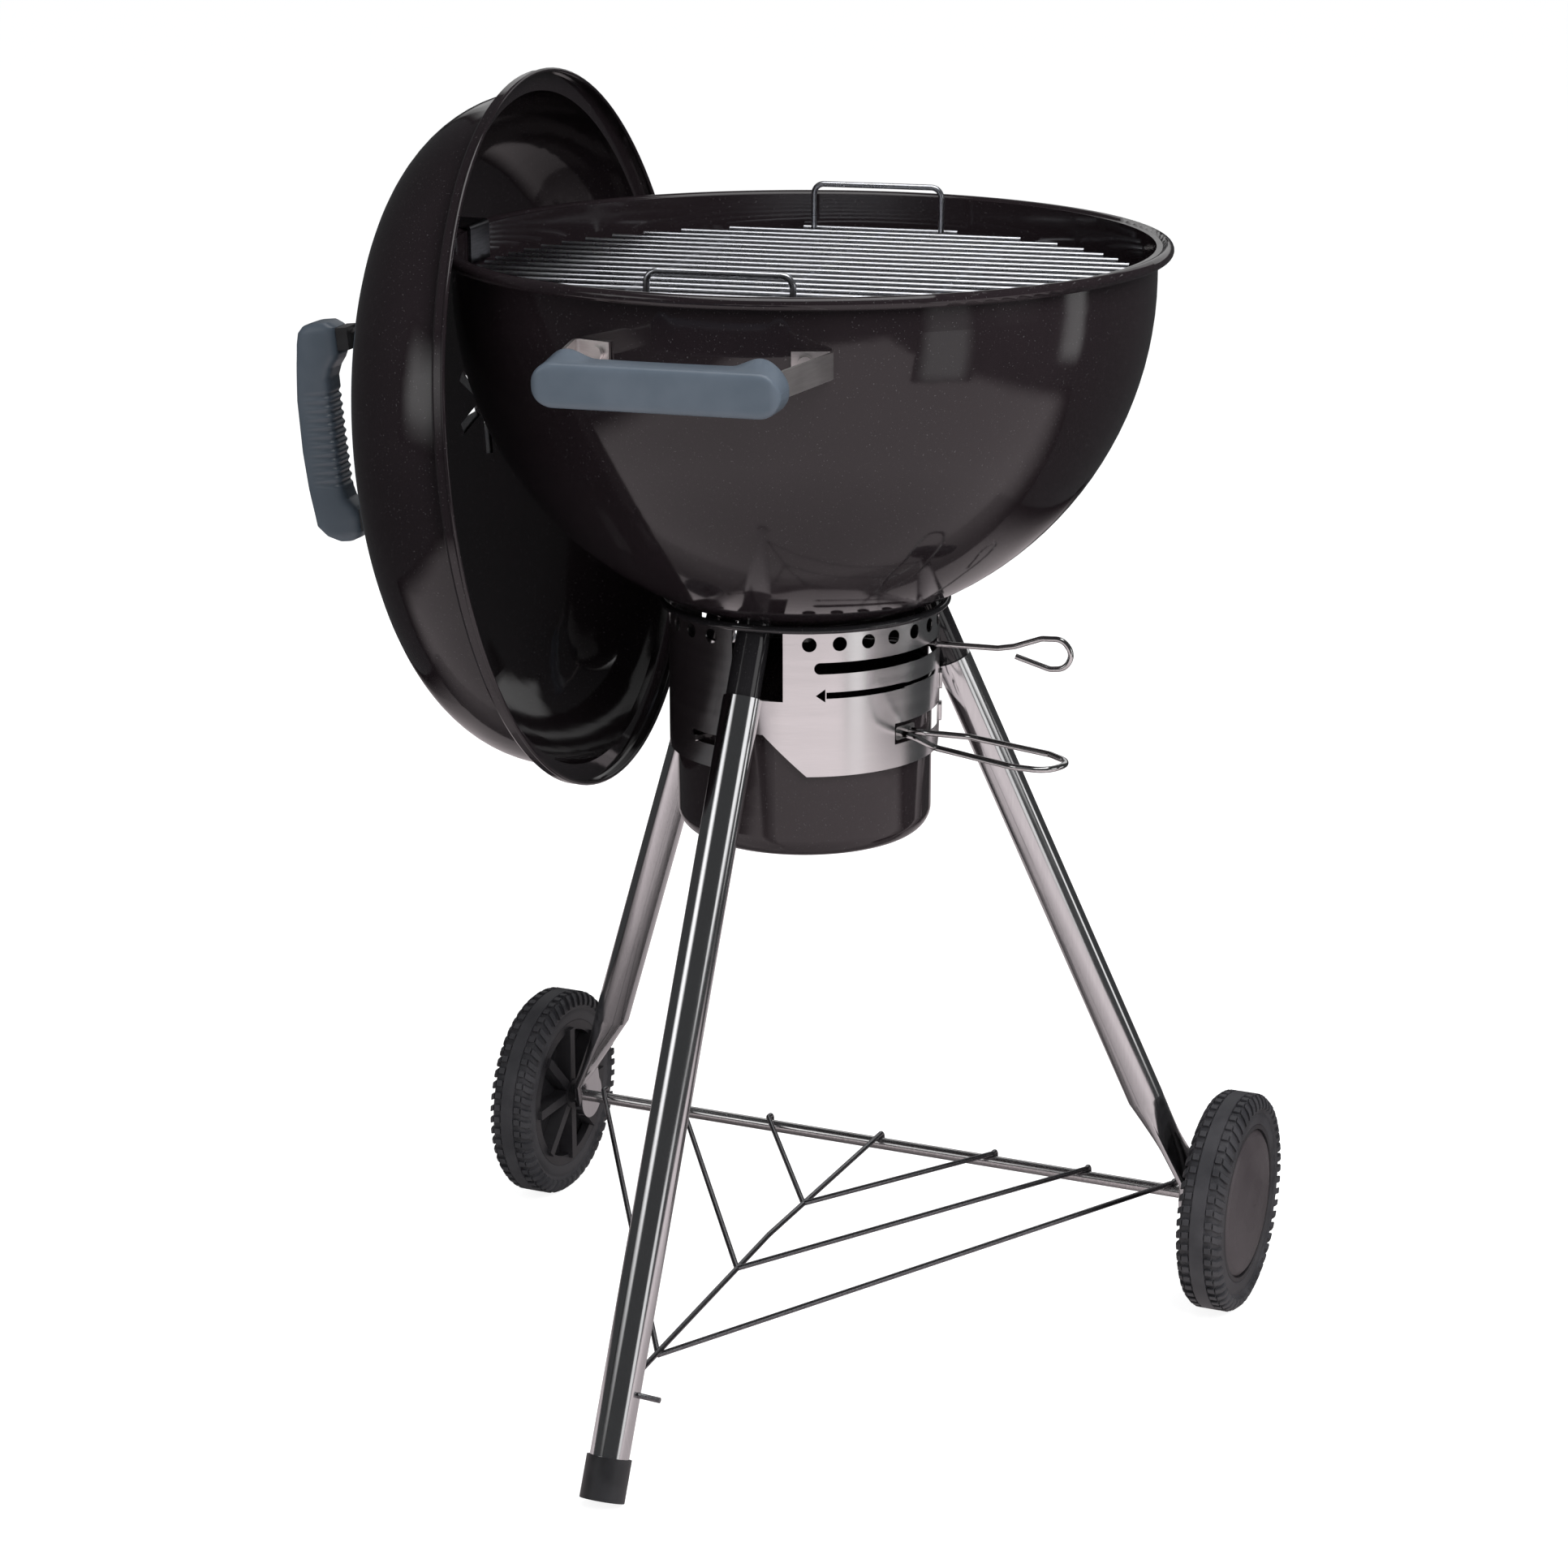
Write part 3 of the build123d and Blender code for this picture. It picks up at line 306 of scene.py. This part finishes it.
def tyre(side_name):
    """One tyre, modelled about its own centre and moved to its wheel."""
    low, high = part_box("tyre_" + side_name)
    centre = (low + high) / 2
    half = (high.x - low.x) / 2
    crown = (high.z - low.z) / 2
    groove = crown - TREAD_GROOVE
    wall = half - SIDE_INSET
    side = [(RIB_HALF, crown), (BAR_FROM, groove), (BAR_TO, groove), (SHOULDER_FROM, groove - 0.0004),
            (wall - 0.0015, groove - 0.0022), (wall, groove - 0.0058), (wall + 0.0001, 0.0655),
            (wall - 0.0009, 0.0635), (wall - 0.0001, 0.0605), (wall - 0.0008, TYRE_BORE)]
    profile = side + [(-x, r) for x, r in reversed(side)]
    bm = spun_about_x(profile, LUGS * 2)
    bm.faces.ensure_lookup_table()
    step = math.tau / (LUGS * 2)
    bars, shoulders = [], []
    for face in bm.faces:
        middle = face.calc_center_median()
        turn = int((math.atan2(middle.y, middle.z) % math.tau) / step)
        radius = math.hypot(middle.y, middle.z)
        if turn % 2 == 0 and BAR_FROM < abs(middle.x) < BAR_TO and radius > groove - 0.001:
            bars.append(face)
        if turn % 2 == 0 and abs(middle.x) > SHOULDER_FROM and radius > SHOULDER_FOOT:
            shoulders.append(face)
    for block in (bars, shoulders):
        raised = bmesh.ops.extrude_face_region(bm, geom=block)["geom"]
        tops = [v for v in raised if isinstance(v, bmesh.types.BMVert)]
        bmesh.ops.delete(bm, geom=block, context="FACES_ONLY")
        for v in tops:
            out = Vector((0.0, v.co.y, v.co.z)).normalized() * LUG_RISE
            if abs(v.co.x) > wall - SIDE_INSET:
                out = out * 0.5 + Vector((math.copysign(SIDE_RISE, v.co.x), 0, 0))
            v.co += out
    for v in bm.verts:
        slant = LUG_SLANT * max(0.0, abs(v.co.x) - BAR_TO) / (half - BAR_TO)
        v.co = Matrix.Rotation(slant, 3, "X") @ v.co
    bmesh.ops.recalc_face_normals(bm, faces=bm.faces)
    piece = finish_piece(bm, "tyre_tread_" + side_name, tyre_rubber, f"wheel_{side_name}_body", centre)
    soft_edge = piece.modifiers.new("moulded_edge", "BEVEL")
    soft_edge.width = MOULDED_EDGE
    soft_edge.segments = 1
    soft_edge.limit_method = "ANGLE"
    soft_edge.angle_limit = math.radians(35)
    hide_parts("tyre_" + side_name)


for side_name in ("left", "right"):
    tyre(side_name)


# ---------------------------------------------------------------- wheels and hubcaps
# Each tyre is moulded round a black spoked wheel. A domed hubcap in a warmer dark grey snaps
# into the outer side and hides the axle's end.
wheel_plastic = moulding("wheel_plastic", (0.014, 0.013, 0.015), (0.024, 0.023, 0.025), 0.4, 0.55)
hubcap_plastic = moulding("hubcap_plastic", (0.036, 0.030, 0.033), (0.046, 0.039, 0.042), 0.36, 0.46,
                          0.00003)
coat_nodes(wheel_plastic, "wheel_left", "wheel_right")
coat_nodes(hubcap_plastic, "hubcap_left", "hubcap_right")


# ---------------------------------------------------------------- bottom rack
# A welded wire V that ties the front leg to the axle: one spine and three pairs of arms, dark
# nickel plated, with their ends bent down behind the axle.
rack_nickel = plating("rack_nickel", (0.16, 0.16, 0.17), (0.27, 0.27, 0.28), 0.22, 0.34, 700.0, 700.0)
coat_nodes(rack_nickel, "rack_spine", "rack_arms")


# ---------------------------------------------------------------- ash band
# Three brushed stainless panels joined into a band round the mouth of the ash bucket. The
# grain runs round the band; small spring clips hold the joints.
BRUSHED_RELIEF = 0.000004
brushed, brushed_in, brushed_out = surface_group(
    "brushed_round", {"Middle Y": 0.0, "Fineness": 2600.0, "Length": 5.0},
    ["Height", "Streaks", "Bands"])
brushed_place = brushed.nodes.new("ShaderNodeTexCoord").outputs["Object"]
brushed_apart = brushed.nodes.new("ShaderNodeSeparateXYZ")
brushed.links.new(brushed_place, brushed_apart.inputs["Vector"])
brushed_y = combine(brushed, "SUBTRACT", brushed_apart.outputs["Y"], brushed_in.outputs["Middle Y"])
brushed_turn = combine(brushed, "ARCTAN2", brushed_y, brushed_apart.outputs["X"])
brushed_vector = brushed.nodes.new("ShaderNodeCombineXYZ")
brushed_round = combine(brushed, "MULTIPLY", brushed_turn, brushed_in.outputs["Length"])
brushed_up = combine(brushed, "MULTIPLY", brushed_apart.outputs["Z"], brushed_in.outputs["Fineness"])
brushed.links.new(brushed_round, brushed_vector.inputs["X"])
brushed.links.new(brushed_up, brushed_vector.inputs["Z"])
brushed_lines = noise(brushed, brushed_vector.outputs["Vector"], 1.0, 3.0, 0.7)
brushed.links.new(brushed_lines, brushed_out.inputs["Height"])
brushed.links.new(remap(brushed, brushed_lines, 0.3, 0.7, 0.0, 1.0), brushed_out.inputs["Streaks"])
brushed_bands = noise(brushed, brushed_vector.outputs["Vector"], 0.05, 2.0)
brushed.links.new(brushed_bands, brushed_out.inputs["Bands"])


def brushed_steel(name, dark, light, rough_low, rough_high, fineness=2600.0):
    """Stainless sheet brushed along the bowl's round."""
    material, tree, shader = new_finish(name, 1.0)
    grain = place_group(tree, brushed, Middle_Y=bowl_axis.y, Fineness=fineness)
    tree.links.new(tint(tree, grain["Streaks"], dark, light), shader.inputs["Base Color"])
    roughness = remap(tree, grain["Bands"], 0.3, 0.7, rough_low, rough_high)
    tree.links.new(roughness, shader.inputs["Roughness"])
    bump(tree, grain["Height"], shader, BRUSHED_RELIEF, 0.12)
    return material


band_stainless = brushed_steel("band_stainless", (0.86, 0.855, 0.86), (0.92, 0.915, 0.92), 0.20, 0.25)
coat_nodes(band_stainless, "ash_band", "band_clips")


# ---------------------------------------------------------------- ash bucket
# A drawn and enamelled bucket that hangs from the band by two lugs, with a chrome wire handle
# held to its side by a plated saddle.
bucket_enamel = enamel("bucket_enamel", (0.010, 0.0075, 0.0085), (0.018, 0.0135, 0.015), 80.0)
handle_chrome = plating("handle_chrome", (0.60, 0.60, 0.60), (0.74, 0.74, 0.74), 0.08, 0.16,
                        600.0, 600.0)
small_zinc = plating("small_zinc", (0.50, 0.50, 0.50), (0.64, 0.64, 0.63), 0.2, 0.32, 700.0, 700.0)
coat_nodes(bucket_enamel, "ash_bucket")
coat_nodes(handle_chrome, "bucket_handle")
coat_nodes(small_zinc, "bucket_lugs", "bucket_saddle")


# ---------------------------------------------------------------- air sweeper
# Three curved steel blades lie on the floor of the bowl and turn with a shaft through it. The
# chrome wire lever under the bowl comes out through the band's long slot.
blade_steel = brushed_steel("blade_steel", (0.34, 0.33, 0.32), (0.46, 0.45, 0.44), 0.3, 0.45, 900.0)
coat_nodes(blade_steel, "sweeper_blades")
coat_nodes(small_zinc, "sweeper_shaft", "sweeper_collar", "sweeper_nut")
coat_nodes(handle_chrome, "vent_lever")


# ---------------------------------------------------------------- grates
# Welded wire grates: a chrome plated cooking grate with two wire handles, and a heavier plain
# steel one for the charcoal. Both rest on tabs welded inside the bowl.
grate_chrome = plating("grate_chrome", (0.58, 0.59, 0.63), (0.68, 0.69, 0.73), 0.26, 0.34, 500.0, 500.0)
coal_steel = plating("coal_steel", (0.22, 0.21, 0.20), (0.32, 0.31, 0.30), 0.34, 0.48, 400.0, 400.0)
tab_enamel = enamel("tab_enamel", (0.009, 0.008, 0.009), (0.014, 0.012, 0.013), 120.0)
coat_nodes(grate_chrome, "cooking_grate", "cooking_grate_rods", "grate_handles")
coat_nodes(coal_steel, "charcoal_grate", "charcoal_grate_rods")
coat_nodes(tab_enamel, "cooking_grate_tabs", "charcoal_grate_tabs")


# ---------------------------------------------------------------- bowl handles
# Two satin slate-grey moulded grips, front and back, on bent and plated steel brackets that are
# bolted through the bowl. Each grip has a flat outer face, round ends and two raised bosses.
grip_slate = moulding("grip_slate", (0.056, 0.071, 0.090), (0.065, 0.081, 0.102), 0.34, 0.42, 0.00005)
bracket_plating = plating("bracket_plating", (0.86, 0.83, 0.82), (0.94, 0.91, 0.90), 0.34, 0.46,
                          60.0, 900.0)
coat_nodes(bracket_plating, "bowl_brackets", "bracket_bolts")
HANDLE_TURN = math.radians(7.3)
GRIP_OUT, GRIP_DEEP, GRIP_HIGH, GRIP_LONG = 0.307, 0.024, 0.027, 0.150
BOSS_AT, BOSS_LONG, BOSS_RISE = 0.058, 0.013, 0.0052
BOSS_SPREAD, WAIST, WAIST_HALF = 1.35, 0.0016, 0.045
grip_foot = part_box("bowl_grips")[0].z


def lofted(stations, section, sides):
    """Closed tube whose ring at each station is placed by section(station, turn)."""
    bm = bmesh.new()
    turn_of = bm.verts.layers.float.new("turn")
    ring = bmesh.ops.create_circle(bm, segments=sides, radius=1.0)["verts"]
    for v in ring:
        v[turn_of] = math.atan2(v.co.y, v.co.x)
    first = edges = list(bm.edges)
    for count, station in enumerate(stations):
        if count:
            grown = bmesh.ops.extrude_edge_only(bm, edges=edges)["geom"]
            ring = [g for g in grown if isinstance(g, bmesh.types.BMVert)]
            edges = [g for g in grown if isinstance(g, bmesh.types.BMEdge)]
        for v in ring:
            v.co = section(station, v[turn_of])
    for rim in (first, edges):
        bmesh.ops.contextual_create(bm, geom=rim)
    bmesh.ops.recalc_face_normals(bm, faces=bm.faces)
    return bm


def squared(turn, power):
    """Point of a rounded square of half side one."""
    c, s = math.cos(turn), math.sin(turn)
    return (math.copysign(abs(c) ** (2 / power), c), math.copysign(abs(s) ** (2 / power), s))


def rounded_end(place, half, radius):
    """How much of its full size a section keeps near a round end."""
    over = max(0.0, abs(place) - (half - radius)) / radius
    return math.sqrt(max(0.0, 1.0 - min(1.0, over) ** 2))


def bump_at(place, centre, half):
    """Smooth bump of height one about a centre."""
    near = max(0.0, 1.0 - abs(place - centre) / half)
    return near * near * (3 - 2 * near)


def bowl_grip_section(along, turn):
    """One point of the bowl grip, as distance along, outwards and up."""
    out, up = squared(turn, 7.0)
    half = GRIP_LONG / 2
    tall = GRIP_HIGH / 2 * max(0.16, rounded_end(along, half, GRIP_HIGH / 2))
    deep = GRIP_DEEP / 2 * (0.62 + 0.38 * rounded_end(along, half, 0.006))
    rear = min(1.0, max(0.0, 0.15 - out) * 2.2)
    swell = bump_at(abs(along), BOSS_AT, BOSS_LONG * BOSS_SPREAD)
    boss = BOSS_RISE * rear * max(0.0, up) ** 2 * swell
    waist = WAIST * rear * (1 - min(1.0, abs(along) / WAIST_HALF) ** 2)
    return Vector((along, out * deep + waist, up * tall + boss))


GRIP_STEPS, GRIP_SIDES = 96, 40
grip_turns = [math.pi * (k / GRIP_STEPS - 0.5) for k in range(GRIP_STEPS + 1)]
grip_stations = [GRIP_LONG / 2 * math.sin(turn) for turn in grip_turns]
for name, turn in (("front", HANDLE_TURN - math.pi / 2), ("back", HANDLE_TURN + math.pi / 2)):
    grip_bm = lofted(grip_stations, bowl_grip_section, GRIP_SIDES)
    outward = Vector((math.cos(turn), math.sin(turn), 0.0))
    sideways = Vector((-outward.y, outward.x, 0.0))
    seat = Matrix((sideways, outward, Vector((0, 0, 1)))).transposed().to_4x4()
    seat.translation = Vector((0, bowl_axis.y, grip_foot + GRIP_HIGH / 2))
    seat.translation += outward * (GRIP_OUT - GRIP_DEEP / 2)
    bmesh.ops.transform(grip_bm, matrix=seat, verts=grip_bm.verts)
    bmesh.ops.recalc_face_normals(grip_bm, faces=grip_bm.faces)
    grip_piece = finish_piece(grip_bm, name + "_grip", grip_slate, "stand")
    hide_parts("bowl_grips")


# ---------------------------------------------------------------- lid
# The domed lid is fired in the same enamel as the bowl. It carries an aluminium damper over six
# slots, the slate grip on plated strips, and the steel hook that hangs it on the bowl's rim.
lid_enamel = enamel("lid_enamel", (0.0065, 0.0048, 0.0056), (0.012, 0.009, 0.0105))
damper_aluminium = plating("damper_aluminium", (0.60, 0.60, 0.61), (0.72, 0.72, 0.73), 0.3, 0.42,
                           500.0, 500.0)
block_plastic = moulding("block_plastic", (0.010, 0.010, 0.011), (0.016, 0.016, 0.018), 0.4, 0.55)
hook_plating = plating("hook_plating", (0.09, 0.09, 0.10), (0.14, 0.14, 0.15), 0.28, 0.40, 80.0, 900.0)
coat_nodes(lid_enamel, "lid")
coat_nodes(damper_aluminium, "lid_damper")
coat_nodes(block_plastic, "lid_grip_blocks")
coat_nodes(hook_plating, "lid_hook")
coat_nodes(small_zinc, "damper_rivet", "lid_grip_strips", "lid_grip_bolts", "hook_rivets")


LID_TURN, LID_LEAN = math.radians(187.3), math.radians(5.86)
LID_OUT, LID_MIDDLE_Z = 0.1529, 0.615
away = Vector((math.cos(LID_TURN), math.sin(LID_TURN), 0.0))
lid_out = away * math.cos(LID_LEAN) - Vector((0, 0, math.sin(LID_LEAN)))
lid_up = away * math.sin(LID_LEAN) + Vector((0, 0, math.cos(LID_LEAN)))
lid_across = lid_up.cross(lid_out)
lid_seat = Matrix((lid_across, lid_up, lid_out)).transposed().to_4x4()
lid_seat.translation = Vector((0, bowl_axis.y, LID_MIDDLE_Z)) + away * LID_OUT
OUTER_FACE = ((-0.067, 0.180), (-0.063, 0.189), (-0.056, 0.1955), (-0.03, 0.198), (-0.005, 0.199),
              (0.03, 0.198),
              (0.055, 0.195), (0.068, 0.193), (0.0755, 0.191), (0.0798, 0.187), (0.0815, 0.180))
INNER_FACE = ((-0.067, 0.170), (-0.065, 0.1645), (-0.061, 0.1625), (-0.050, 0.1625), (-0.044, 0.1655),
              (-0.038, 0.1700), (-0.032, 0.1715), (0.044, 0.1715), (0.051, 0.1685), (0.056, 0.1645),
              (0.060, 0.1625), (0.078, 0.1625), (0.0815, 0.168))
LID_GRIP_HALF_WIDE = 0.0125
RIBS, RIB_PITCH, RIB_MIDDLE, RIB_DEPTH = 11, 0.0060, 0.003, 0.0013
END_AT, END_ROUND = 0.0745, 0.008


def between(place, line):
    """Height of a broken line at a place along it."""
    for (x0, z0), (x1, z1) in zip(line, line[1:]):
        if place <= x1:
            return z0 + (z1 - z0) * max(0.0, place - x0) / (x1 - x0)
    return line[-1][1]


def lid_grip_section(along, turn):
    """One point of the lid grip, as distance across, up and outwards from the lid's mouth."""
    across, out = squared(turn, 4.4)
    inner, outer = between(along, INNER_FACE), between(along, OUTER_FACE)
    middle_z, half = (inner + outer) / 2, (outer - inner) / 2
    end = (OUTER_FACE[-1][0] + OUTER_FACE[0][0]) / 2
    wide = LID_GRIP_HALF_WIDE * (0.7 + 0.3 * rounded_end(along - end, END_AT, END_ROUND))
    ribbed = abs(along - RIB_MIDDLE) < RIBS * RIB_PITCH / 2
    wave = 0.5 - 0.5 * math.cos(math.tau * (along - RIB_MIDDLE) / RIB_PITCH + math.pi * RIBS)
    inward = min(1.0, max(0.0, 0.30 - out) * 3.0)
    cut = RIB_DEPTH * wave * inward if ribbed else 0.0
    return Vector((across * (wide - cut), along, middle_z + out * (half - cut)))


LID_GRIP_STEPS, LID_GRIP_SIDES = 200, 36
span = OUTER_FACE[-1][0] - OUTER_FACE[0][0]
lid_grip_stations = [OUTER_FACE[0][0] + span * k / LID_GRIP_STEPS for k in range(LID_GRIP_STEPS + 1)]
lid_grip_bm = lofted(lid_grip_stations, lid_grip_section, LID_GRIP_SIDES)
bmesh.ops.transform(lid_grip_bm, matrix=lid_seat, verts=lid_grip_bm.verts)
bmesh.ops.recalc_face_normals(lid_grip_bm, faces=lid_grip_bm.faces)
lid_grip_piece = finish_piece(lid_grip_bm, "lid_grip_moulding", grip_slate, "lid_body")
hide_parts("lid_grip")


# ---------------------------------------------------------------- studio
# A plain pale floor that runs to a white surround. Paper and reflectors stand where the glossy
# enamel and chrome pick them up; the camera sees only the floor.
# Painted shadow of the grill on the paper cards: the glow is SHADE_LEAST of full near the bowl's axis
# and rises to full glow between these distances in metres.
SHADE_NEAR, SHADE_FAR, SHADE_LEAST = 0.12, 0.68, 0.52


def stage_plane(name, width, depth, place, toward, strength, colour, soft, turn=None, shade_at=None):
    """Glowing card that only reflections and soft light see, with feathered edges.

    A card faces a point, or lies flat and turned; shade_at is the spot round which a painted shadow of
    the grill darkens its glow.
    """
    bm = bmesh.new()
    bmesh.ops.create_grid(bm, x_segments=1, y_segments=1, size=0.5)
    mesh = bpy.data.meshes.new(name)
    bm.to_mesh(mesh)
    bm.free()
    card = bpy.data.objects.new(name, mesh)
    bpy.context.scene.collection.objects.link(card)
    card.location = place
    card.scale = (width, depth, 1.0)
    if turn is None:
        card.rotation_euler = (Vector(toward) - Vector(place)).to_track_quat("Z", "Y").to_euler()
    else:
        card.rotation_euler = (0.0, 0.0, math.radians(turn))
    material = bpy.data.materials.new(name)
    material.use_nodes = True
    tree = material.node_tree
    tree.nodes.clear()
    output = tree.nodes.new("ShaderNodeOutputMaterial")
    glow = tree.nodes.new("ShaderNodeEmission")
    glow.inputs["Color"].default_value = (*colour, 1.0)
    apart = tree.nodes.new("ShaderNodeSeparateXYZ")
    tree.links.new(tree.nodes.new("ShaderNodeTexCoord").outputs["Object"], apart.inputs["Vector"])
    fades = []
    for axis, length in (("X", width), ("Y", depth)):
        reach = combine(tree, "ABSOLUTE", apart.outputs[axis], 0.0)
        fade = tree.nodes.new("ShaderNodeMapRange")
        fade.interpolation_type = "SMOOTHSTEP"
        tree.links.new(reach, fade.inputs["Value"])
        fade.inputs["From Min"].default_value = 0.5
        fade.inputs["From Max"].default_value = 0.5 - soft / length
        fades.append(fade.outputs["Result"])
    edge = combine(tree, "MULTIPLY", fades[0], fades[1])
    # Painted shadow: the glow is dimmed round shade_at, standing in for the grill's shade on the paper.
    if shade_at is not None:
        squares = []
        for axis, length, offset in (("X", width, shade_at[0]), ("Y", depth, shade_at[1])):
            apart_by = combine(tree, "SUBTRACT", apart.outputs[axis], offset / length)
            reach = combine(tree, "ABSOLUTE", combine(tree, "MULTIPLY", apart_by, length), 0.0)
            squares.append(combine(tree, "POWER", reach, 2.0))
        distance = combine(tree, "SQRT", combine(tree, "ADD", *squares), 0.0)
        shade = remap(tree, distance, SHADE_NEAR, SHADE_FAR, SHADE_LEAST, 1.0)
        edge = combine(tree, "MULTIPLY", edge, shade)
    tree.links.new(combine(tree, "MULTIPLY", edge, strength), glow.inputs["Strength"])
    tree.links.new(glow.outputs["Emission"], output.inputs["Surface"])
    mesh.materials.append(material)
    card.visible_camera = False
    card.visible_shadow = False
    return card


FLOOR_SIZE = 40.0
FLOOR_GREY, FLOOR_GLOW = 0.36, 0.88
floor_mesh = bpy.data.meshes.new("floor")
floor_bm = bmesh.new()
bmesh.ops.create_grid(floor_bm, x_segments=1, y_segments=1, size=FLOOR_SIZE)
floor_bm.to_mesh(floor_mesh)
floor_bm.free()
floor = bpy.data.objects.new("floor", floor_mesh)
bpy.context.scene.collection.objects.link(floor)
floor_paper = bpy.data.materials.new("floor_paper")
floor_paper.use_nodes = True
floor_shader = floor_paper.node_tree.nodes["Principled BSDF"]
floor_shader.inputs["Base Color"].default_value = (FLOOR_GREY, FLOOR_GREY, FLOOR_GREY, 1.0)
floor_shader.inputs["Roughness"].default_value = 0.9
floor_shader.inputs["Specular IOR Level"].default_value = 0.0
floor_shader.inputs["Emission Color"].default_value = (1.0, 1.0, 1.0, 1.0)
floor_shader.inputs["Emission Strength"].default_value = FLOOR_GLOW
floor_mesh.materials.append(floor_paper)
floor.visible_glossy = False

middle = Vector((0.0, bowl_axis.y, 0.0))
aimed_at = middle + Vector((0, 0, 0.7))
WARM, NEUTRAL = (1.0, 0.90, 0.92), (1.0, 1.0, 1.0)


def around(azimuth, distance, height):
    """Point at an azimuth in degrees and a distance from the bowl's axis."""
    turn = math.radians(azimuth)
    return middle + Vector((math.cos(turn) * distance, math.sin(turn) * distance, height))


PAPER_TURN = 23.6
paper_way = Matrix.Rotation(math.radians(PAPER_TURN), 3, "Z")


def paper(name, width, depth, across, along, strength, soft):
    """Sheet on the floor, placed by its middle across and along the way the grill is seen."""
    place = middle + paper_way @ Vector((across, along, 0.001))
    # The painted shadow of the grill is centred on the bowl's axis.
    shade_at = (-across, -along)
    sheet = stage_plane(name, width, depth, place, middle, strength, WARM, soft, PAPER_TURN, shade_at)
    sheet.visible_diffuse = False


paper("paper_glow", 2.80, 3.45, 0.25, -1.50, 0.78, 0.30)
paper("rear_paper_glow", 1.30, 1.70, 0.0, 0.85, 0.50, 0.25)
for name, width, depth, place, strength, soft in (
        ("right_card", 0.62, 0.62, around(-23, 1.75, 0.24), 0.9, 0.17),
        ("far_right_card", 0.42, 0.52, around(25, 1.75, 0.36), 1.2, 0.14),
        ("left_card", 1.5, 1.4, around(-121, 2.2, 1.3), 1.5, 0.6),
        ("side_card", 1.2, 1.0, around(-2, 2.2, 0.86), 1.2, 0.25),
        ("back_card", 3.4, 1.6, around(100, 2.6, 1.7), 0.65, 0.3),
        ("top_card", 2.2, 2.2, middle + Vector((0.2, -0.3, 2.7)), 2.6, 0.3)):
    stage_plane(name, width, depth, place, aimed_at, strength, NEUTRAL, soft)


def softbox(name, place, size, watts):
    """Square area light aimed at the bowl."""
    data = bpy.data.lights.new(name, "AREA")
    data.shape = "SQUARE"
    data.size = size
    data.energy = watts
    box = bpy.data.objects.new(name, data)
    bpy.context.scene.collection.objects.link(box)
    box.location = place
    box.rotation_euler = (aimed_at - Vector(place)).to_track_quat("-Z", "Y").to_euler()
    box.visible_glossy = False


softbox("key_light", (1.5, -1.0, 2.1), 1.5, 80.0)
softbox("left_light", (-2.2, -0.8, 1.6), 1.2, 5.0)
softbox("rear_light", (1.2, 2.4, 2.2), 1.6, 30.0)

SURROUND_SOFT, SURROUND_GLOSSY = 0.34, 0.05
world = bpy.data.worlds.new("surround")
bpy.context.scene.world = world
world.use_nodes = True
world_tree = world.node_tree
world_tree.nodes.clear()
rays = world_tree.nodes.new("ShaderNodeLightPath")
seen = world_tree.nodes.new("ShaderNodeBackground")
seen.inputs["Color"].default_value = (*NEUTRAL, 1.0)
unseen = world_tree.nodes.new("ShaderNodeBackground")
unseen.inputs["Color"].default_value = (0.95, 0.97, 1.0, 1.0)
surround = remap(world_tree, rays.outputs["Is Glossy Ray"], 0.0, 1.0, SURROUND_SOFT, SURROUND_GLOSSY)
world_tree.links.new(surround, unseen.inputs["Strength"])
either = world_tree.nodes.new("ShaderNodeMixShader")
world_tree.links.new(rays.outputs["Is Camera Ray"], either.inputs["Fac"])
world_tree.links.new(unseen.outputs["Background"], either.inputs[1])
world_tree.links.new(seen.outputs["Background"], either.inputs[2])
world_out = world_tree.nodes.new("ShaderNodeOutputWorld")
world_tree.links.new(either.outputs["Shader"], world_out.inputs["Surface"])
bpy.context.scene.view_settings.view_transform = "Standard"

CAMERA_AT, AIM_HEIGHT = (0.9607, -1.8965, 1.1002), 0.381
camera_data = bpy.data.cameras.new("camera")
camera_data.lens = 86.26
camera_data.sensor_width = 36.0
camera_data.shift_x = -0.01306
camera_data.shift_y = 0.00212
camera_data.clip_end = 100.0
camera = bpy.data.objects.new("camera", camera_data)
bpy.context.scene.collection.objects.link(camera)
camera.location = CAMERA_AT
aim = middle + Vector((0.0, 0.0, AIM_HEIGHT))
camera.rotation_euler = (aim - camera.location).to_track_quat("-Z", "Y").to_euler()
bpy.context.scene.camera = camera
